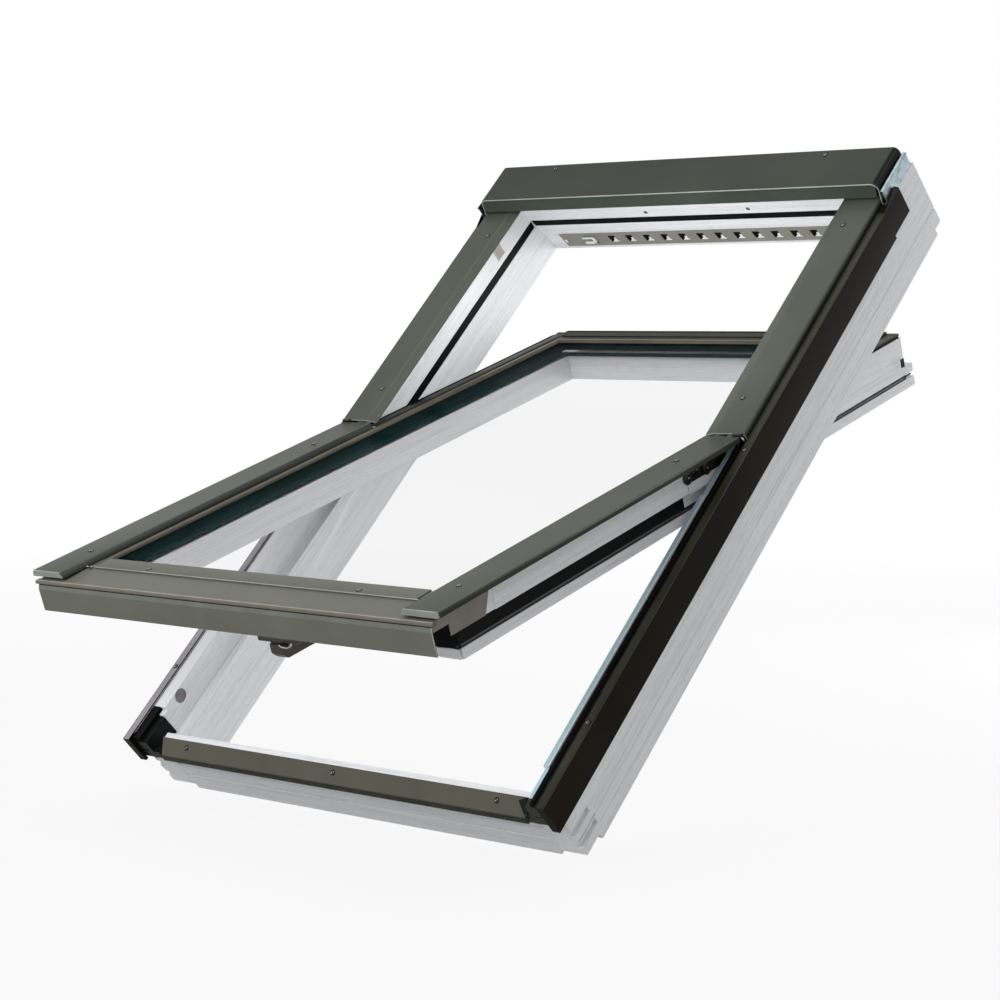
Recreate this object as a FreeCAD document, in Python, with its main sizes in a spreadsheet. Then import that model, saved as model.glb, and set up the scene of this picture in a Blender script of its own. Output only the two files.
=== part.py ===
# Centre pivot roof window, 780 x 1180 mm outside its timber frame.
# The window is drawn lying in its own plane: X across, Y up the slope, Z out of the roof.
# Each piece is then pitched with the roof, and the sash pieces are swung open about the pivot.
# The origin is the middle of the sill's room-side face.
import FreeCAD, Part
import os

import Sketcher

doc = FreeCAD.newDocument("CentrePivotWindow")
sheet = doc.addObject("Spreadsheet::Sheet", "Sizes")

# Driving dimensions in millimetres, angles in degrees
SIZES = [
    # whole window
    ("frameWidth", 780, "outside of the timber, across"),
    ("frameLength", 1180, "outside of the timber, up the slope"),
    ("roofPitch", 45, "pitch of the roof"),
    ("sashOpening", 27.5, "how far the sash stands open"),
    ("swingGap", 5, "clear space round what swings"),
    ("seat", 0.3, "play where one piece is set on another"),
    ("sheetMetal", 1.5, "thickness of the aluminium claddings"),
    ("overcut", 1, "cuts run this far past the face they open"),
    # timber frame
    ("stileWidth", 47, "width of a frame stile"),
    ("roomStep", 10, "depth of the step on the room side"),
    ("stepFoot", 34, "where that step starts above the foot"),
    ("stepHead", 20, "where that step ends below the head"),
    ("ledgeLevel", 83, "ledge that the lower sash closes on"),
    ("upstandLevel", 126, "top of the upstand"),
    ("upstandFoot", 120, "top of its foot, which the apron closes over"),
    ("upstandOffset", 26, "outer face to the upstand"),
    ("upstandThickness", 9, "thickness of the upstand"),
    ("rimThickness", 7, "outer rim of a stile"),
    ("grooveLevel", 100, "floor of the groove beside the upstand"),
    ("bandLevel", 35, "milled line round the outside"),
    ("bandCut", 2.5, "width and depth of that line"),
    ("slotLength", 42, "milled slots at the foot of a stile"),
    ("slotWidth", 9, "width of those slots"),
    ("slotDepth", 6, "depth of those slots"),
    ("slotLevel", 24, "lower edge of the first slot"),
    ("slotPitch", 24, "from one slot to the next"),
    ("headFoot", 30, "head's thickness on the room side"),
    ("headCrown", 58, "head's thickness at its top"),
    ("headLevel", 126, "top of the head"),
    ("sillDepth", 22, "sill's thickness on the room side"),
    ("sillCrown", 20, "sill's thickness at its top"),
    ("sillLevel", 106, "top of the sill"),
    ("sillNose", 90, "outer edge of the sill's slope"),
    ("dripLevel", 55, "drip groove along the sill's outer face"),
    ("dripCut", 5, "width of the drip groove"),
    # frame claddings
    ("skirtOffset", 11, "sill cladding stands off the timber"),
    ("sideOffset", 3.7, "stile claddings stand off the timber"),
    ("flangeLevel", 128, "top of a stile cladding's flange"),
    ("flangeReach", 9, "flange's reach in over the rim"),
    ("skirtFoot", 79, "lower edge of a stile cladding's skirt"),
    ("skirtTail", 16, "stile cladding's reach past the foot"),
    ("skirtHead", 59, "from the head end to a stile cladding's end"),
    ("lugLength", 54, "length of the raised lug at that end"),
    ("lugFoot", 84, "lower edge of the lug"),
    ("lugLevel", 139, "top of the lug"),
    ("lugChamfer", 9, "chamfer at the lug's end"),
    ("coverLevel", 137, "outer face of the covers"),
    ("coverInset", 77, "timber's outside to the covers' inner edge"),
    ("upperFlange", 14, "depth of an upper cover's outer flange"),
    ("lowerFlange", 7, "depth of a lower cover's outer flange"),
    ("coverLip", 8, "depth of a cover's inner lip"),
    ("upperCoverInset", 10, "timber's outside to the upper covers"),
    ("coverEndGap", 3.5, "from the pivot to the end of a cover"),
    ("hoodLevel", 162, "top of the head hood"),
    ("hoodInset", 20, "timber's outside to the hood's flat top"),
    ("hoodBend", 12, "bend between the top and a side flange"),
    ("hoodSide", 26, "depth of the hood's side flanges"),
    ("hoodSetback", 6, "from the head end to the hood's back"),
    ("hoodFlat", 81, "length of the hood's flat top"),
    ("hoodRun", 7, "slope of the hood's front lip"),
    ("hoodDrop", 20, "depth of the hood's front lip"),
    ("hoodCorner", 15, "corner cut off the back of the flat top"),
    ("sillSkirtFoot", 82, "lower edge of the sill cladding"),
    ("stripLevel", 149, "top of the steel strips beside the hood"),
    ("stripLength", 86, "length of those strips"),
    # corner pieces
    ("capInset", 8.5, "timber's outside to an end cap"),
    ("capThickness", 5, "thickness of an end cap"),
    ("cornerFoot", 84, "lower edge of a corner piece"),
    ("cornerFront", 98, "top of a corner piece's front"),
    ("cornerReach", 38, "left corner piece's reach up the stile"),
    ("cornerStub", 3, "right corner piece's reach up the stile"),
    ("cornerLevel", 118, "top of a corner piece"),
    # seals, grille and fittings
    ("sealFoot", 65, "lower edge of the frame's seal"),
    ("sealTop", 79, "upper edge of the frame's seal"),
    ("sealDepth", 4, "depth of a seal's groove"),
    ("grilleInset", 33, "end of the vent grille from the inside of the frame"),
    ("grilleFoot", 8, "lower edge of the grille"),
    ("grilleTop", 41, "upper edge of the grille"),
    ("ventPitch", 36, "from one slot of the grille to the next"),
    ("ventSlot", 14, "length of a slot in the grille"),
    ("ventFoot", 17, "lower edge of a slot"),
    ("ventTop", 34, "upper edge of a slot"),
    ("ventInset", 138.5, "first slot from the inside of the frame"),
    ("sliderInset", 88, "slider of the vent from the inside of the frame"),
    ("sliderLength", 30, "length of the slider"),
    ("sliderDepth", 4, "how far the slider stands proud"),
    ("catchInset", 144, "catch plate below the top of the frame"),
    ("catchWidth", 22, "width and height of the catch plate"),
    ("catchLevel", 88, "lower edge of the catch plate"),
    ("catchDepth", 3, "thickness of the catch plate"),
    ("socketHeight", 79.5, "bolt socket above the foot"),
    ("socketLevel", 115, "level of the bolt socket"),
    ("socketRadius", 9, "radius of the bolt socket"),
    # pivot
    ("pivotRise", 21.5, "pivot above the middle of the frame"),
    ("pivotLevel", 138, "pivot's level"),
    ("pinRadius", 3, "radius of the pivot pin"),
    ("pinPlay", 0.05, "running play of the pivot pin"),
    ("armLength", 95, "length of the sash's pivot arm"),
    ("armRoot", 8, "how far the arm lies on the sash stile"),
    ("cradleLength", 17, "cradle's reach above the pivot"),
    # sash
    ("sashStile", 50, "width of a sash stile"),
    ("sashBack", 60, "room-side face of the sash"),
    ("lipFoot", 45, "room-side face of the lip round the sash"),
    ("lipWidth", 13, "width of that lip"),
    ("sashShoulder", 88, "level where the sash widens"),
    ("sashFace", 127, "outer face of the sash timber"),
    ("sashFoot", 35, "lower end of the sash timber"),
    ("sashHeadRoom", 79, "head end to the sash's upper end"),
    ("sashBottomRail", 70, "height of the bottom rail"),
    ("sashTopRail", 36, "height of the top rail"),
    ("sashRebate", 32, "rebate that the glass lies in"),
    ("topRebate", 31, "that rebate in the top rail"),
    ("grooveTop", 67, "top of the seal groove above that lip"),
    ("noseTop", 80, "top of the nosing at the upper end"),
    ("noseReach", 22, "nosing's reach past the upper end"),
    ("edgeLevel", 129, "outer face of the upper edge claddings"),
    ("edgeWidth", 25, "width of those claddings"),
    ("edgeEnd", 6, "those claddings stop short of the end"),
    ("edgeOver", 4, "upper edge cladding's reach over the end"),
    ("lowerCoverInset", 14, "timber's outside to the lower covers"),
    ("lowerCoverFoot", 31, "lower covers' reach past the foot"),
    ("apronReach", 37, "apron's distance past the foot"),
    ("apronInset", 25, "timber's outside to the apron's end"),
    ("apronLap", 8, "apron's reach over the glass"),
    ("apronLevel", 118, "upper edge of the apron's face"),
    ("apronGroove", 5, "groove along the top of the apron's face"),
    ("apronFoot", 80, "lower edge of the apron"),
    ("plateEnd", 95, "upper end of a side plate"),
    ("plateSlant", 19, "slant of that end"),
    ("plateNotch", 10, "where the notch in a side plate ends"),
    ("plateLow", 103.5, "top of the notch"),
    ("paneThickness", 4, "thickness of a pane"),
    ("paneGap", 16, "space between the panes"),
    ("paneLevel", 125, "outer face of the outer pane"),
    ("spacerWidth", 8, "width of the spacer between the panes"),
    ("sealWidth", 10, "width of the outer glazing seal"),
    ("spacerInset", 3, "glass edge to the spacer"),
    # handle
    ("handleHalf", 37, "half the width of the handle's plate"),
    ("handleFoot", 44, "front edge of the handle's plate"),
    ("handleLength", 60, "length of the handle's plate"),
    ("handlePlate", 13, "thickness of that plate"),
    ("leverHalf", 12.5, "half the width of the lever"),
    ("leverFoot", 40, "front of the lever"),
    ("leverLevel", 10, "room-side face of the lever"),
    ("leverChamfer", 8, "chamfer at the lever's front"),
]
for row, (name, value, note) in enumerate(SIZES, start=1):
    sheet.set(f"A{row}", note)
    sheet.set(f"B{row}", str(value))
    sheet.setAlias(f"B{row}", name)
doc.recompute()


def sized(text):
    """Put the sheet's name before each alias in an expression."""
    names = {name for name, value, note in SIZES}
    words = ""
    out = []
    for mark in text + " ":
        if mark.isalnum():
            words += mark
            continue
        out.append("Sizes." + words if words in names else words)
        out.append(mark)
        words = ""
    return "".join(out).strip()


# Where the window's own plane goes in the part's frame
PIVOT = "(frameLength / 2 + pivotRise)"
FRAME_Y = "(-sillDepth / 2 * cos(roofPitch))"
FRAME_Z = "(-sillDepth / 2 * sin(roofPitch))"
TILT = "(roofPitch - sashOpening)"
SASH_Y = (f"{FRAME_Y} + {PIVOT} * (cos(roofPitch) - cos{TILT})"
          f" - pivotLevel * (sin(roofPitch) - sin{TILT})")
SASH_Z = (f"{FRAME_Z} + {PIVOT} * (sin(roofPitch) - sin{TILT})"
          f" + pivotLevel * (cos(roofPitch) - cos{TILT})")
frame_nodes = []
sash_nodes = []


def place(piece, on_sash=False):
    """Pitch a piece with the roof, or with the open sash."""
    piece.Placement = FreeCAD.Placement(
        FreeCAD.Vector(), FreeCAD.Rotation(FreeCAD.Vector(1, 0, 0), 1))
    piece.setExpression("Placement.Rotation.Angle", sized(TILT if on_sash else "roofPitch"))
    piece.setExpression("Placement.Base.y", sized(SASH_Y if on_sash else FRAME_Y))
    piece.setExpression("Placement.Base.z", sized(SASH_Z if on_sash else FRAME_Z))
    (sash_nodes if on_sash else frame_nodes).append(piece)


def new_body(label, on_sash=False):
    """Start a piece whose label names its file."""
    body = doc.addObject("PartDesign::Body", label)
    body.Label = label
    place(body, on_sash)
    return body


def outline(body, plane, corners, start):
    """Draw a closed outline whose every corner is bound to the sizes."""
    sketch = body.newObject("Sketcher::SketchObject", body.Label + "_outline")
    origin_plane = [item for item in body.Origin.OriginFeatures if item.Role == plane][0]
    sketch.AttachmentSupport = [(origin_plane, "")]
    sketch.MapMode = "FlatFace"
    lift = f"-({start})" if plane == "XZ_Plane" else start
    sketch.setExpression("AttachmentOffset.Base.z", sized(lift))
    bound = [(sized(across), sized(along)) for across, along in corners]
    spots = []
    for across, along in bound:
        spots.append(FreeCAD.Vector(float(sketch.evalExpression(across)),
                                    float(sketch.evalExpression(along)), 0))
    count = len(spots)
    for index in range(count):
        sketch.addGeometry(Part.LineSegment(spots[index], spots[(index + 1) % count]))
    for index in range(count):
        sketch.addConstraint(
            Sketcher.Constraint("Coincident", index, 2, (index + 1) % count, 1))
    for index, (across, along) in enumerate(bound):
        for kind, text, value in (("DistanceX", across, spots[index].x),
                                  ("DistanceY", along, spots[index].y)):
            number = sketch.addConstraint(Sketcher.Constraint(kind, index, 1, value))
            sketch.setExpression(f"Constraints[{number}]", text)
    return sketch


def prism(body, plane, corners, start, end):
    """Add a prism from start to end along the plane's own axis."""
    sketch = outline(body, plane, corners, start)
    pad = body.newObject("PartDesign::Pad", body.Label + "_pad")
    pad.Profile = sketch
    pad.setExpression("Length", sized(f"({end}) - ({start})"))
    pad.Reversed = plane == "XZ_Plane"
    return pad


def cut(body, plane, corners, start, end):
    """Cut a prism from start to end along the plane's own axis."""
    sketch = outline(body, plane, corners, start)
    pocket = body.newObject("PartDesign::Pocket", body.Label + "_pocket")
    pocket.Profile = sketch
    pocket.setExpression("Length", sized(f"({end}) - ({start})"))
    pocket.Reversed = plane != "XZ_Plane"
    return pocket


def disc(body, plane, across, along, radius, start):
    """Draw a circle whose centre and radius are bound to the sizes."""
    sketch = body.newObject("Sketcher::SketchObject", body.Label + "_disc")
    origin_plane = [item for item in body.Origin.OriginFeatures if item.Role == plane][0]
    sketch.AttachmentSupport = [(origin_plane, "")]
    sketch.MapMode = "FlatFace"
    lift = f"-({start})" if plane == "XZ_Plane" else start
    sketch.setExpression("AttachmentOffset.Base.z", sized(lift))
    values = [float(sketch.evalExpression(sized(text))) for text in (across, along, radius)]
    centre = FreeCAD.Vector(values[0], values[1], 0)
    sketch.addGeometry(Part.Circle(centre, FreeCAD.Vector(0, 0, 1), values[2]))
    for number, (kind, text, value) in enumerate((
            ("DistanceX", across, values[0]), ("DistanceY", along, values[1]))):
        sketch.addConstraint(Sketcher.Constraint(kind, 0, 3, value))
        sketch.setExpression(f"Constraints[{number}]", sized(text))
    sketch.addConstraint(Sketcher.Constraint("Radius", 0, values[2]))
    sketch.setExpression("Constraints[2]", sized(radius))
    return sketch


def rod(body, plane, across, along, radius, start, end):
    """Add a round bar from start to end along the plane's own axis."""
    pad = body.newObject("PartDesign::Pad", body.Label + "_rod")
    pad.Profile = disc(body, plane, across, along, radius, start)
    pad.setExpression("Length", sized(f"({end}) - ({start})"))
    pad.Reversed = plane == "XZ_Plane"


def bore(body, plane, across, along, radius, start, end):
    """Cut a round hole from start to end along the plane's own axis."""
    pocket = body.newObject("PartDesign::Pocket", body.Label + "_bore")
    pocket.Profile = disc(body, plane, across, along, radius, start)
    pocket.setExpression("Length", sized(f"({end}) - ({start})"))
    pocket.Reversed = plane != "XZ_Plane"


def rectangle(left, low, right, high):
    """Corners of a rectangle."""
    return [(left, low), (right, low), (right, high), (left, high)]


def mirrored(side, corners):
    """Corners drawn for the right side, put on either side."""
    return corners if side > 0 else [(f"-({across})", along) for across, along in corners]


SIDES = (("left", -1), ("right", 1))
HALF = "(frameWidth / 2)"
INSIDE = "(frameWidth / 2 - stileWidth)"
UPSTAND_OUT = f"({HALF} - upstandOffset)"
UPSTAND_IN = f"({HALF} - upstandOffset - upstandThickness)"
RIM_IN = f"({HALF} - rimThickness)"
RIM_TOP = "(flangeLevel - sheetMetal - seat)"
COVER_IN = f"({HALF} - coverInset)"
COVER_UNDER = "(coverLevel - sheetMetal - seat)"
UPPER_OUT = f"({HALF} - upperCoverInset)"
LOWER_OUT = f"({HALF} - lowerCoverInset)"
CLADDING_END = "(frameLength - skirtHead)"
HOOD_HALF = f"({HALF} - hoodInset)"
HOOD_BACK = "(frameLength - hoodSetback)"
HOOD_RIDGE = f"({HOOD_BACK} - hoodFlat)"
SASH_OUT = f"({INSIDE} - swingGap)"
SASH_IN = f"({INSIDE} - swingGap - sashStile)"
SASH_TOP = "(frameLength - sashHeadRoom)"
LIP_IN = f"({SASH_OUT} - lipWidth)"
SHOULDER_OUT = f"({UPSTAND_IN} - swingGap)"
CATCH = "(frameLength - catchInset)"
CORNER_REACH = {"left": "cornerReach", "right": "cornerStub"}
GLASS_BED = "(paneLevel - 2 * paneThickness - paneGap - seat)"


def head_face(level):
    """Distance up the slope of the head's splayed face at a level."""
    return f"(frameLength - headFoot - (headCrown - headFoot) * ({level}) / headLevel)"


# Timber frame: the stiles run through, the head and sill stand between them
def frame_stile(name, side):
    body = new_body(f"frame_stile_{name}")
    section = [(INSIDE, "0"), (HALF, "0"), (HALF, "bandLevel"),
               (f"{HALF} - bandCut", "bandLevel"),
               (f"{HALF} - bandCut", "bandLevel + bandCut"),
               (HALF, "bandLevel + bandCut"), (HALF, RIM_TOP), (RIM_IN, RIM_TOP),
               (RIM_IN, "grooveLevel"), (UPSTAND_OUT, "grooveLevel"),
               (UPSTAND_OUT, "upstandLevel"), (INSIDE, "upstandLevel")]
    prism(body, "XZ_Plane", mirrored(side, section), "0", "frameLength")
    # the end beyond the cladding is left full height
    block = rectangle(INSIDE, "grooveLevel", HALF, "headLevel")
    prism(body, "XZ_Plane", mirrored(side, block), f"{CLADDING_END} + seat", "frameLength")
    # the lower half is rebated for the sash, which closes on the ledge
    rebate = rectangle(f"{INSIDE} - overcut", "ledgeLevel", UPSTAND_IN, "upstandLevel + overcut")
    cut(body, "XZ_Plane", mirrored(side, rebate), "-overcut", f"{PIVOT} + swingGap")
    # the upstand stops short of the foot, where the corner piece stands
    corner = rectangle(f"{INSIDE} - overcut", "ledgeLevel", UPSTAND_OUT, "upstandLevel + overcut")
    cut(body, "XZ_Plane", mirrored(side, corner), "-overcut", CORNER_REACH[name])
    # and is lower where the apron and the pivot's arm lie over it
    foot = rectangle(f"{UPSTAND_IN} - overcut", "upstandFoot", f"{UPSTAND_OUT} + overcut",
                     "upstandLevel + overcut")
    cut(body, "XZ_Plane", mirrored(side, foot), "-overcut", "sashFoot + apronLap + swingGap")
    saddle = rectangle(f"{UPSTAND_IN} - overcut", "sashFace + seat - swingGap",
                       f"{UPSTAND_OUT} + overcut", "upstandLevel + overcut")
    cut(body, "XZ_Plane", mirrored(side, saddle), f"{PIVOT} - armLength - swingGap",
        f"{PIVOT} + pinRadius + swingGap")
    # the room-side step stops short of both ends
    ends = rectangle(f"{INSIDE} - overcut", "-overcut", f"{HALF} + overcut", "roomStep")
    cut(body, "XZ_Plane", mirrored(side, ends), "-overcut", "stepFoot")
    cut(body, "XZ_Plane", mirrored(side, ends), "frameLength - stepHead", "frameLength + overcut")
    # groove for the seal on the upper half
    groove = rectangle(f"{INSIDE} - overcut", "sealFoot", f"{INSIDE} + sealDepth", "sealTop")
    cut(body, "XZ_Plane", mirrored(side, groove), f"{PIVOT} + swingGap", head_face("sealTop"))
    # milled slots and line at the foot
    for number in ("0", "1"):
        low = f"slotLevel + {number} * slotPitch"
        slot = rectangle(f"{HALF} - slotDepth", low, f"{HALF} + overcut", f"{low} + slotWidth")
        cut(body, "XZ_Plane", mirrored(side, slot), "-overcut", "slotLength")
    if side < 0:
        plate = rectangle(f"{CATCH} - catchWidth / 2", "catchLevel",
                          f"{CATCH} + catchWidth / 2", "catchLevel + catchWidth")
        cut(body, "YZ_Plane", plate, f"-({INSIDE} + catchDepth + seat)", f"-({INSIDE} - overcut)")
        bore(body, "YZ_Plane", "socketHeight", "socketLevel", "socketRadius",
             f"-({UPSTAND_IN} + catchDepth + seat)", f"-({UPSTAND_IN} - overcut)")


for name, side in SIDES:
    frame_stile(name, side)

head = new_body("frame_head")
prism(head, "YZ_Plane", [
    ("frameLength - stepHead", "0"), ("frameLength - stepHead", "roomStep"),
    ("frameLength", "roomStep"), ("frameLength", "headLevel"),
    ("frameLength - headCrown", "headLevel"),
    (head_face("sealTop"), "sealTop"), (f"{head_face('sealTop')} + sealDepth", "sealTop"),
    (f"{head_face('sealFoot')} + sealDepth", "sealFoot"), (head_face("sealFoot"), "sealFoot"),
    ("frameLength - headFoot", "0"),
], f"-{INSIDE}", INSIDE)

sill = new_body("frame_sill")
prism(sill, "YZ_Plane", [
    ("0", "0"), ("sillDepth", "0"), ("sillDepth", "ledgeLevel"),
    ("sillCrown", "ledgeLevel"), ("sillCrown", "sillLevel"),
    ("sillCrown / 2", "sillLevel"), ("0", "sillNose"),
    ("0", "dripLevel + dripCut"), ("bandCut", "dripLevel + dripCut"), ("bandCut", "dripLevel"),
    ("0", "dripLevel"), ("0", "bandLevel"), ("bandCut", "bandLevel"),
    ("bandCut", "bandLevel - bandCut"), ("0", "bandLevel - bandCut"),
], f"-{INSIDE}", INSIDE)


# Claddings of the frame
def stile_cladding(name, side):
    body = new_body(f"stile_cladding_{name}")
    out = f"{HALF} + sideOffset"
    skirt_in = f"{out} - sheetMetal"
    section = [(f"{HALF} - flangeReach", "flangeLevel"), (out, "flangeLevel"),
               (out, "skirtFoot"), (skirt_in, "skirtFoot"),
               (skirt_in, "flangeLevel - sheetMetal"),
               (f"{HALF} - flangeReach", "flangeLevel - sheetMetal")]
    prism(body, "XZ_Plane", mirrored(side, section), "-skirtTail", CLADDING_END)
    # closed lower end
    cap = rectangle(f"{HALF} - capInset", "skirtFoot", out, "flangeLevel")
    prism(body, "XZ_Plane", mirrored(side, cap), "-skirtTail", "-skirtTail + capThickness")
    # raised lug at the upper end
    start, end = (skirt_in, out) if side > 0 else (f"-({out})", f"-({skirt_in})")
    foot = f"{CLADDING_END} - lugLength"
    prism(body, "YZ_Plane", [
        (foot, "flangeLevel - sheetMetal"), (foot, "flangeLevel"),
        (f"{CLADDING_END} - lugChamfer", "lugLevel"),
        (CLADDING_END, "lugLevel - lugChamfer"), (CLADDING_END, "flangeLevel - sheetMetal"),
    ], start, end)
    cut(body, "YZ_Plane", rectangle(foot, "skirtFoot - overcut", f"{CLADDING_END} + overcut",
                                    "lugFoot"), start, end)


def cover(name, side, out, flange, lip, start, end, on_sash):
    body = new_body(name, on_sash)
    section = [(COVER_IN, "coverLevel"), (out, "coverLevel"),
               (out, f"coverLevel - {flange}"),
               (f"{out} - sheetMetal", f"coverLevel - {flange}"),
               (f"{out} - sheetMetal", "coverLevel - sheetMetal"),
               (f"{COVER_IN} + sheetMetal", "coverLevel - sheetMetal"),
               (f"{COVER_IN} + sheetMetal", f"coverLevel - {lip}"),
               (COVER_IN, f"coverLevel - {lip}")]
    prism(body, "XZ_Plane", mirrored(side, section), start, end)
    return body


# Black moulded pieces at the frame's lower corners
def corner_pieces(name, side):
    corner = new_body(f"corner_piece_{name}")
    front = rectangle(f"{INSIDE} + seat", "cornerFoot", f"{RIM_IN} - seat", "cornerFront")
    prism(corner, "XZ_Plane", mirrored(side, front), "-skirtOffset", "-seat")
    block = rectangle(f"{UPSTAND_IN} + seat", "grooveLevel + seat", f"{RIM_IN} - seat", "cornerLevel")
    prism(corner, "XZ_Plane", mirrored(side, block), "-skirtOffset", f"{CORNER_REACH[name]} - seat")
    neck = rectangle(f"{UPSTAND_IN} + seat", "ledgeLevel + seat", f"{UPSTAND_OUT} - seat", "cornerLevel")
    prism(corner, "XZ_Plane", mirrored(side, neck), "-skirtOffset", f"{CORNER_REACH[name]} - seat")


for name, side in SIDES:
    stile_cladding(name, side)
    upper = cover(f"upper_cover_{name}", side, UPPER_OUT, "upperFlange", "2 * sheetMetal",
                  f"{PIVOT} + coverEndGap", "frameLength - headCrown / 2", False)
    # its flange stops where the stile is full height
    notch = rectangle(f"{COVER_IN} - overcut", "coverLevel - upperFlange - overcut",
                      f"{UPPER_OUT} + overcut", "headLevel + seat")
    cut(upper, "XZ_Plane", mirrored(side, notch), CLADDING_END, "frameLength")
    corner_pieces(name, side)

hood = new_body("head_hood")
prism(hood, "YZ_Plane", [
    (f"{HOOD_RIDGE} - hoodRun", "hoodLevel - hoodDrop"), (HOOD_RIDGE, "hoodLevel"),
    (HOOD_BACK, "hoodLevel"), (HOOD_BACK, "headLevel + seat"),
    (f"{HOOD_BACK} - sheetMetal", "headLevel + seat"),
    (f"{HOOD_BACK} - sheetMetal", "hoodLevel - sheetMetal"),
    (f"{HOOD_RIDGE} + sheetMetal", "hoodLevel - sheetMetal"),
    (f"{HOOD_RIDGE} - hoodRun + sheetMetal", "hoodLevel - hoodDrop"),
], f"-{HOOD_HALF}", HOOD_HALF)
for name, side in SIDES:
    bend_out = f"{HOOD_HALF} + hoodBend"
    flange = [(HOOD_HALF, "hoodLevel"), (bend_out, "hoodLevel - hoodBend"),
              (bend_out, "hoodLevel - hoodSide"), (f"{bend_out} - sheetMetal", "hoodLevel - hoodSide"),
              (f"{bend_out} - sheetMetal", "hoodLevel - hoodBend - sheetMetal / 2"),
              (HOOD_HALF, "hoodLevel - 3 * sheetMetal / 2")]
    prism(hood, "XZ_Plane", mirrored(side, flange), HOOD_RIDGE, f"{HOOD_BACK} - hoodCorner")
    corner = [(f"{HOOD_HALF} - hoodCorner", f"{HOOD_BACK} + overcut"),
              (f"{HOOD_HALF} + overcut", f"{HOOD_BACK} - hoodCorner"),
              (f"{HOOD_HALF} + overcut", f"{HOOD_BACK} + overcut")]
    cut(hood, "XY_Plane", mirrored(side, corner), "hoodLevel - 2 * sheetMetal", "hoodLevel + overcut")

for name, side in SIDES:
    strip = new_body(f"head_strip_{name}")
    start, end = f"{HALF} - sheetMetal", HALF
    if side < 0:
        start, end = f"-{HALF}", f"-({HALF} - sheetMetal)"
    strip_foot = f"{HOOD_BACK} - stripLength"
    prism(strip, "YZ_Plane", [
        (strip_foot, "flangeLevel + seat"), (f"{CLADDING_END} + seat", "flangeLevel + seat"),
        (f"{CLADDING_END} + seat", "headLevel + seat"), (HOOD_BACK, "headLevel + seat"),
        (HOOD_BACK, "stripLevel"), (strip_foot, "stripLevel"),
    ], start, end)

sill_cladding = new_body("sill_cladding")
prism(sill_cladding, "YZ_Plane", [
    ("sillCrown / 2", "sillLevel + seat"),
    ("sillCrown / 2", "sillLevel + seat + sheetMetal"),
    ("-skirtOffset", "sillNose + seat + sheetMetal"),
    ("-skirtOffset", "sillSkirtFoot"), ("-skirtOffset + sheetMetal", "sillSkirtFoot"),
    ("-skirtOffset + sheetMetal", "sillNose + seat"), ("0", "sillNose + seat"),
], f"-{INSIDE}", INSIDE)

# Seals of the frame, flush in their grooves
for name, side in SIDES:
    seal = new_body(f"frame_seal_{name}")
    strip = rectangle(INSIDE, "sealFoot + seat", f"{INSIDE} + sealDepth - seat", "sealTop - seat")
    prism(seal, "XZ_Plane", mirrored(side, strip), f"{PIVOT} + swingGap + seat",
          f"{head_face('sealTop')} - seat")
seal = new_body("frame_seal_head")
prism(seal, "YZ_Plane", [
    (head_face("sealFoot + seat"), "sealFoot + seat"),
    (f"{head_face('sealFoot + seat')} + sealDepth - seat", "sealFoot + seat"),
    (f"{head_face('sealTop - seat')} + sealDepth - seat", "sealTop - seat"),
    (head_face("sealTop - seat"), "sealTop - seat"),
], f"-{INSIDE}", INSIDE)


# Vent grille on the head's splayed face, with its slider
def on_head(low, high, near, far):
    """Corners of a strip that lies on the head's face."""
    return [(f"{head_face(low)} - {near}", low), (f"{head_face(high)} - {near}", high),
            (f"{head_face(high)} - {far}", high), (f"{head_face(low)} - {far}", low)]


GRILLE_OUT = "(seat + sheetMetal)"
grille = new_body("vent_grille")
prism(grille, "YZ_Plane", on_head("grilleFoot", "grilleTop", "seat", GRILLE_OUT),
      f"-({INSIDE} - grilleInset)", f"{INSIDE} - grilleInset")
VENT_SLOTS = 13
opening = on_head("ventFoot", "ventTop", "(-overcut)", f"({GRILLE_OUT} + overcut)")
for number in range(VENT_SLOTS):
    middle = f"ventInset - {INSIDE} + ventPitch * {number}"
    cut(grille, "YZ_Plane", opening, f"{middle} - ventSlot / 2", f"{middle} + ventSlot / 2")
slider = new_body("vent_slider")
prism(slider, "YZ_Plane", on_head("ventFoot", "ventTop", f"({GRILLE_OUT} + seat)",
                                  f"({GRILLE_OUT} + seat + sliderDepth)"),
      f"sliderInset - {INSIDE} - sliderLength / 2", f"sliderInset - {INSIDE} + sliderLength / 2")

# Catch plate and bolt socket, let into the left stile
catch_plate = new_body("catch_plate")
prism(catch_plate, "YZ_Plane",
      rectangle(f"{CATCH} - catchWidth / 2 + seat", "catchLevel + seat",
                f"{CATCH} + catchWidth / 2 - seat", "catchLevel + catchWidth - seat"),
      f"-({INSIDE} + catchDepth)", f"-{INSIDE}")
bolt_socket = new_body("bolt_socket")
rod(bolt_socket, "YZ_Plane", "socketHeight", "socketLevel", "socketRadius - seat",
    f"-({UPSTAND_IN} + catchDepth)", f"-{UPSTAND_IN}")


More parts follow.
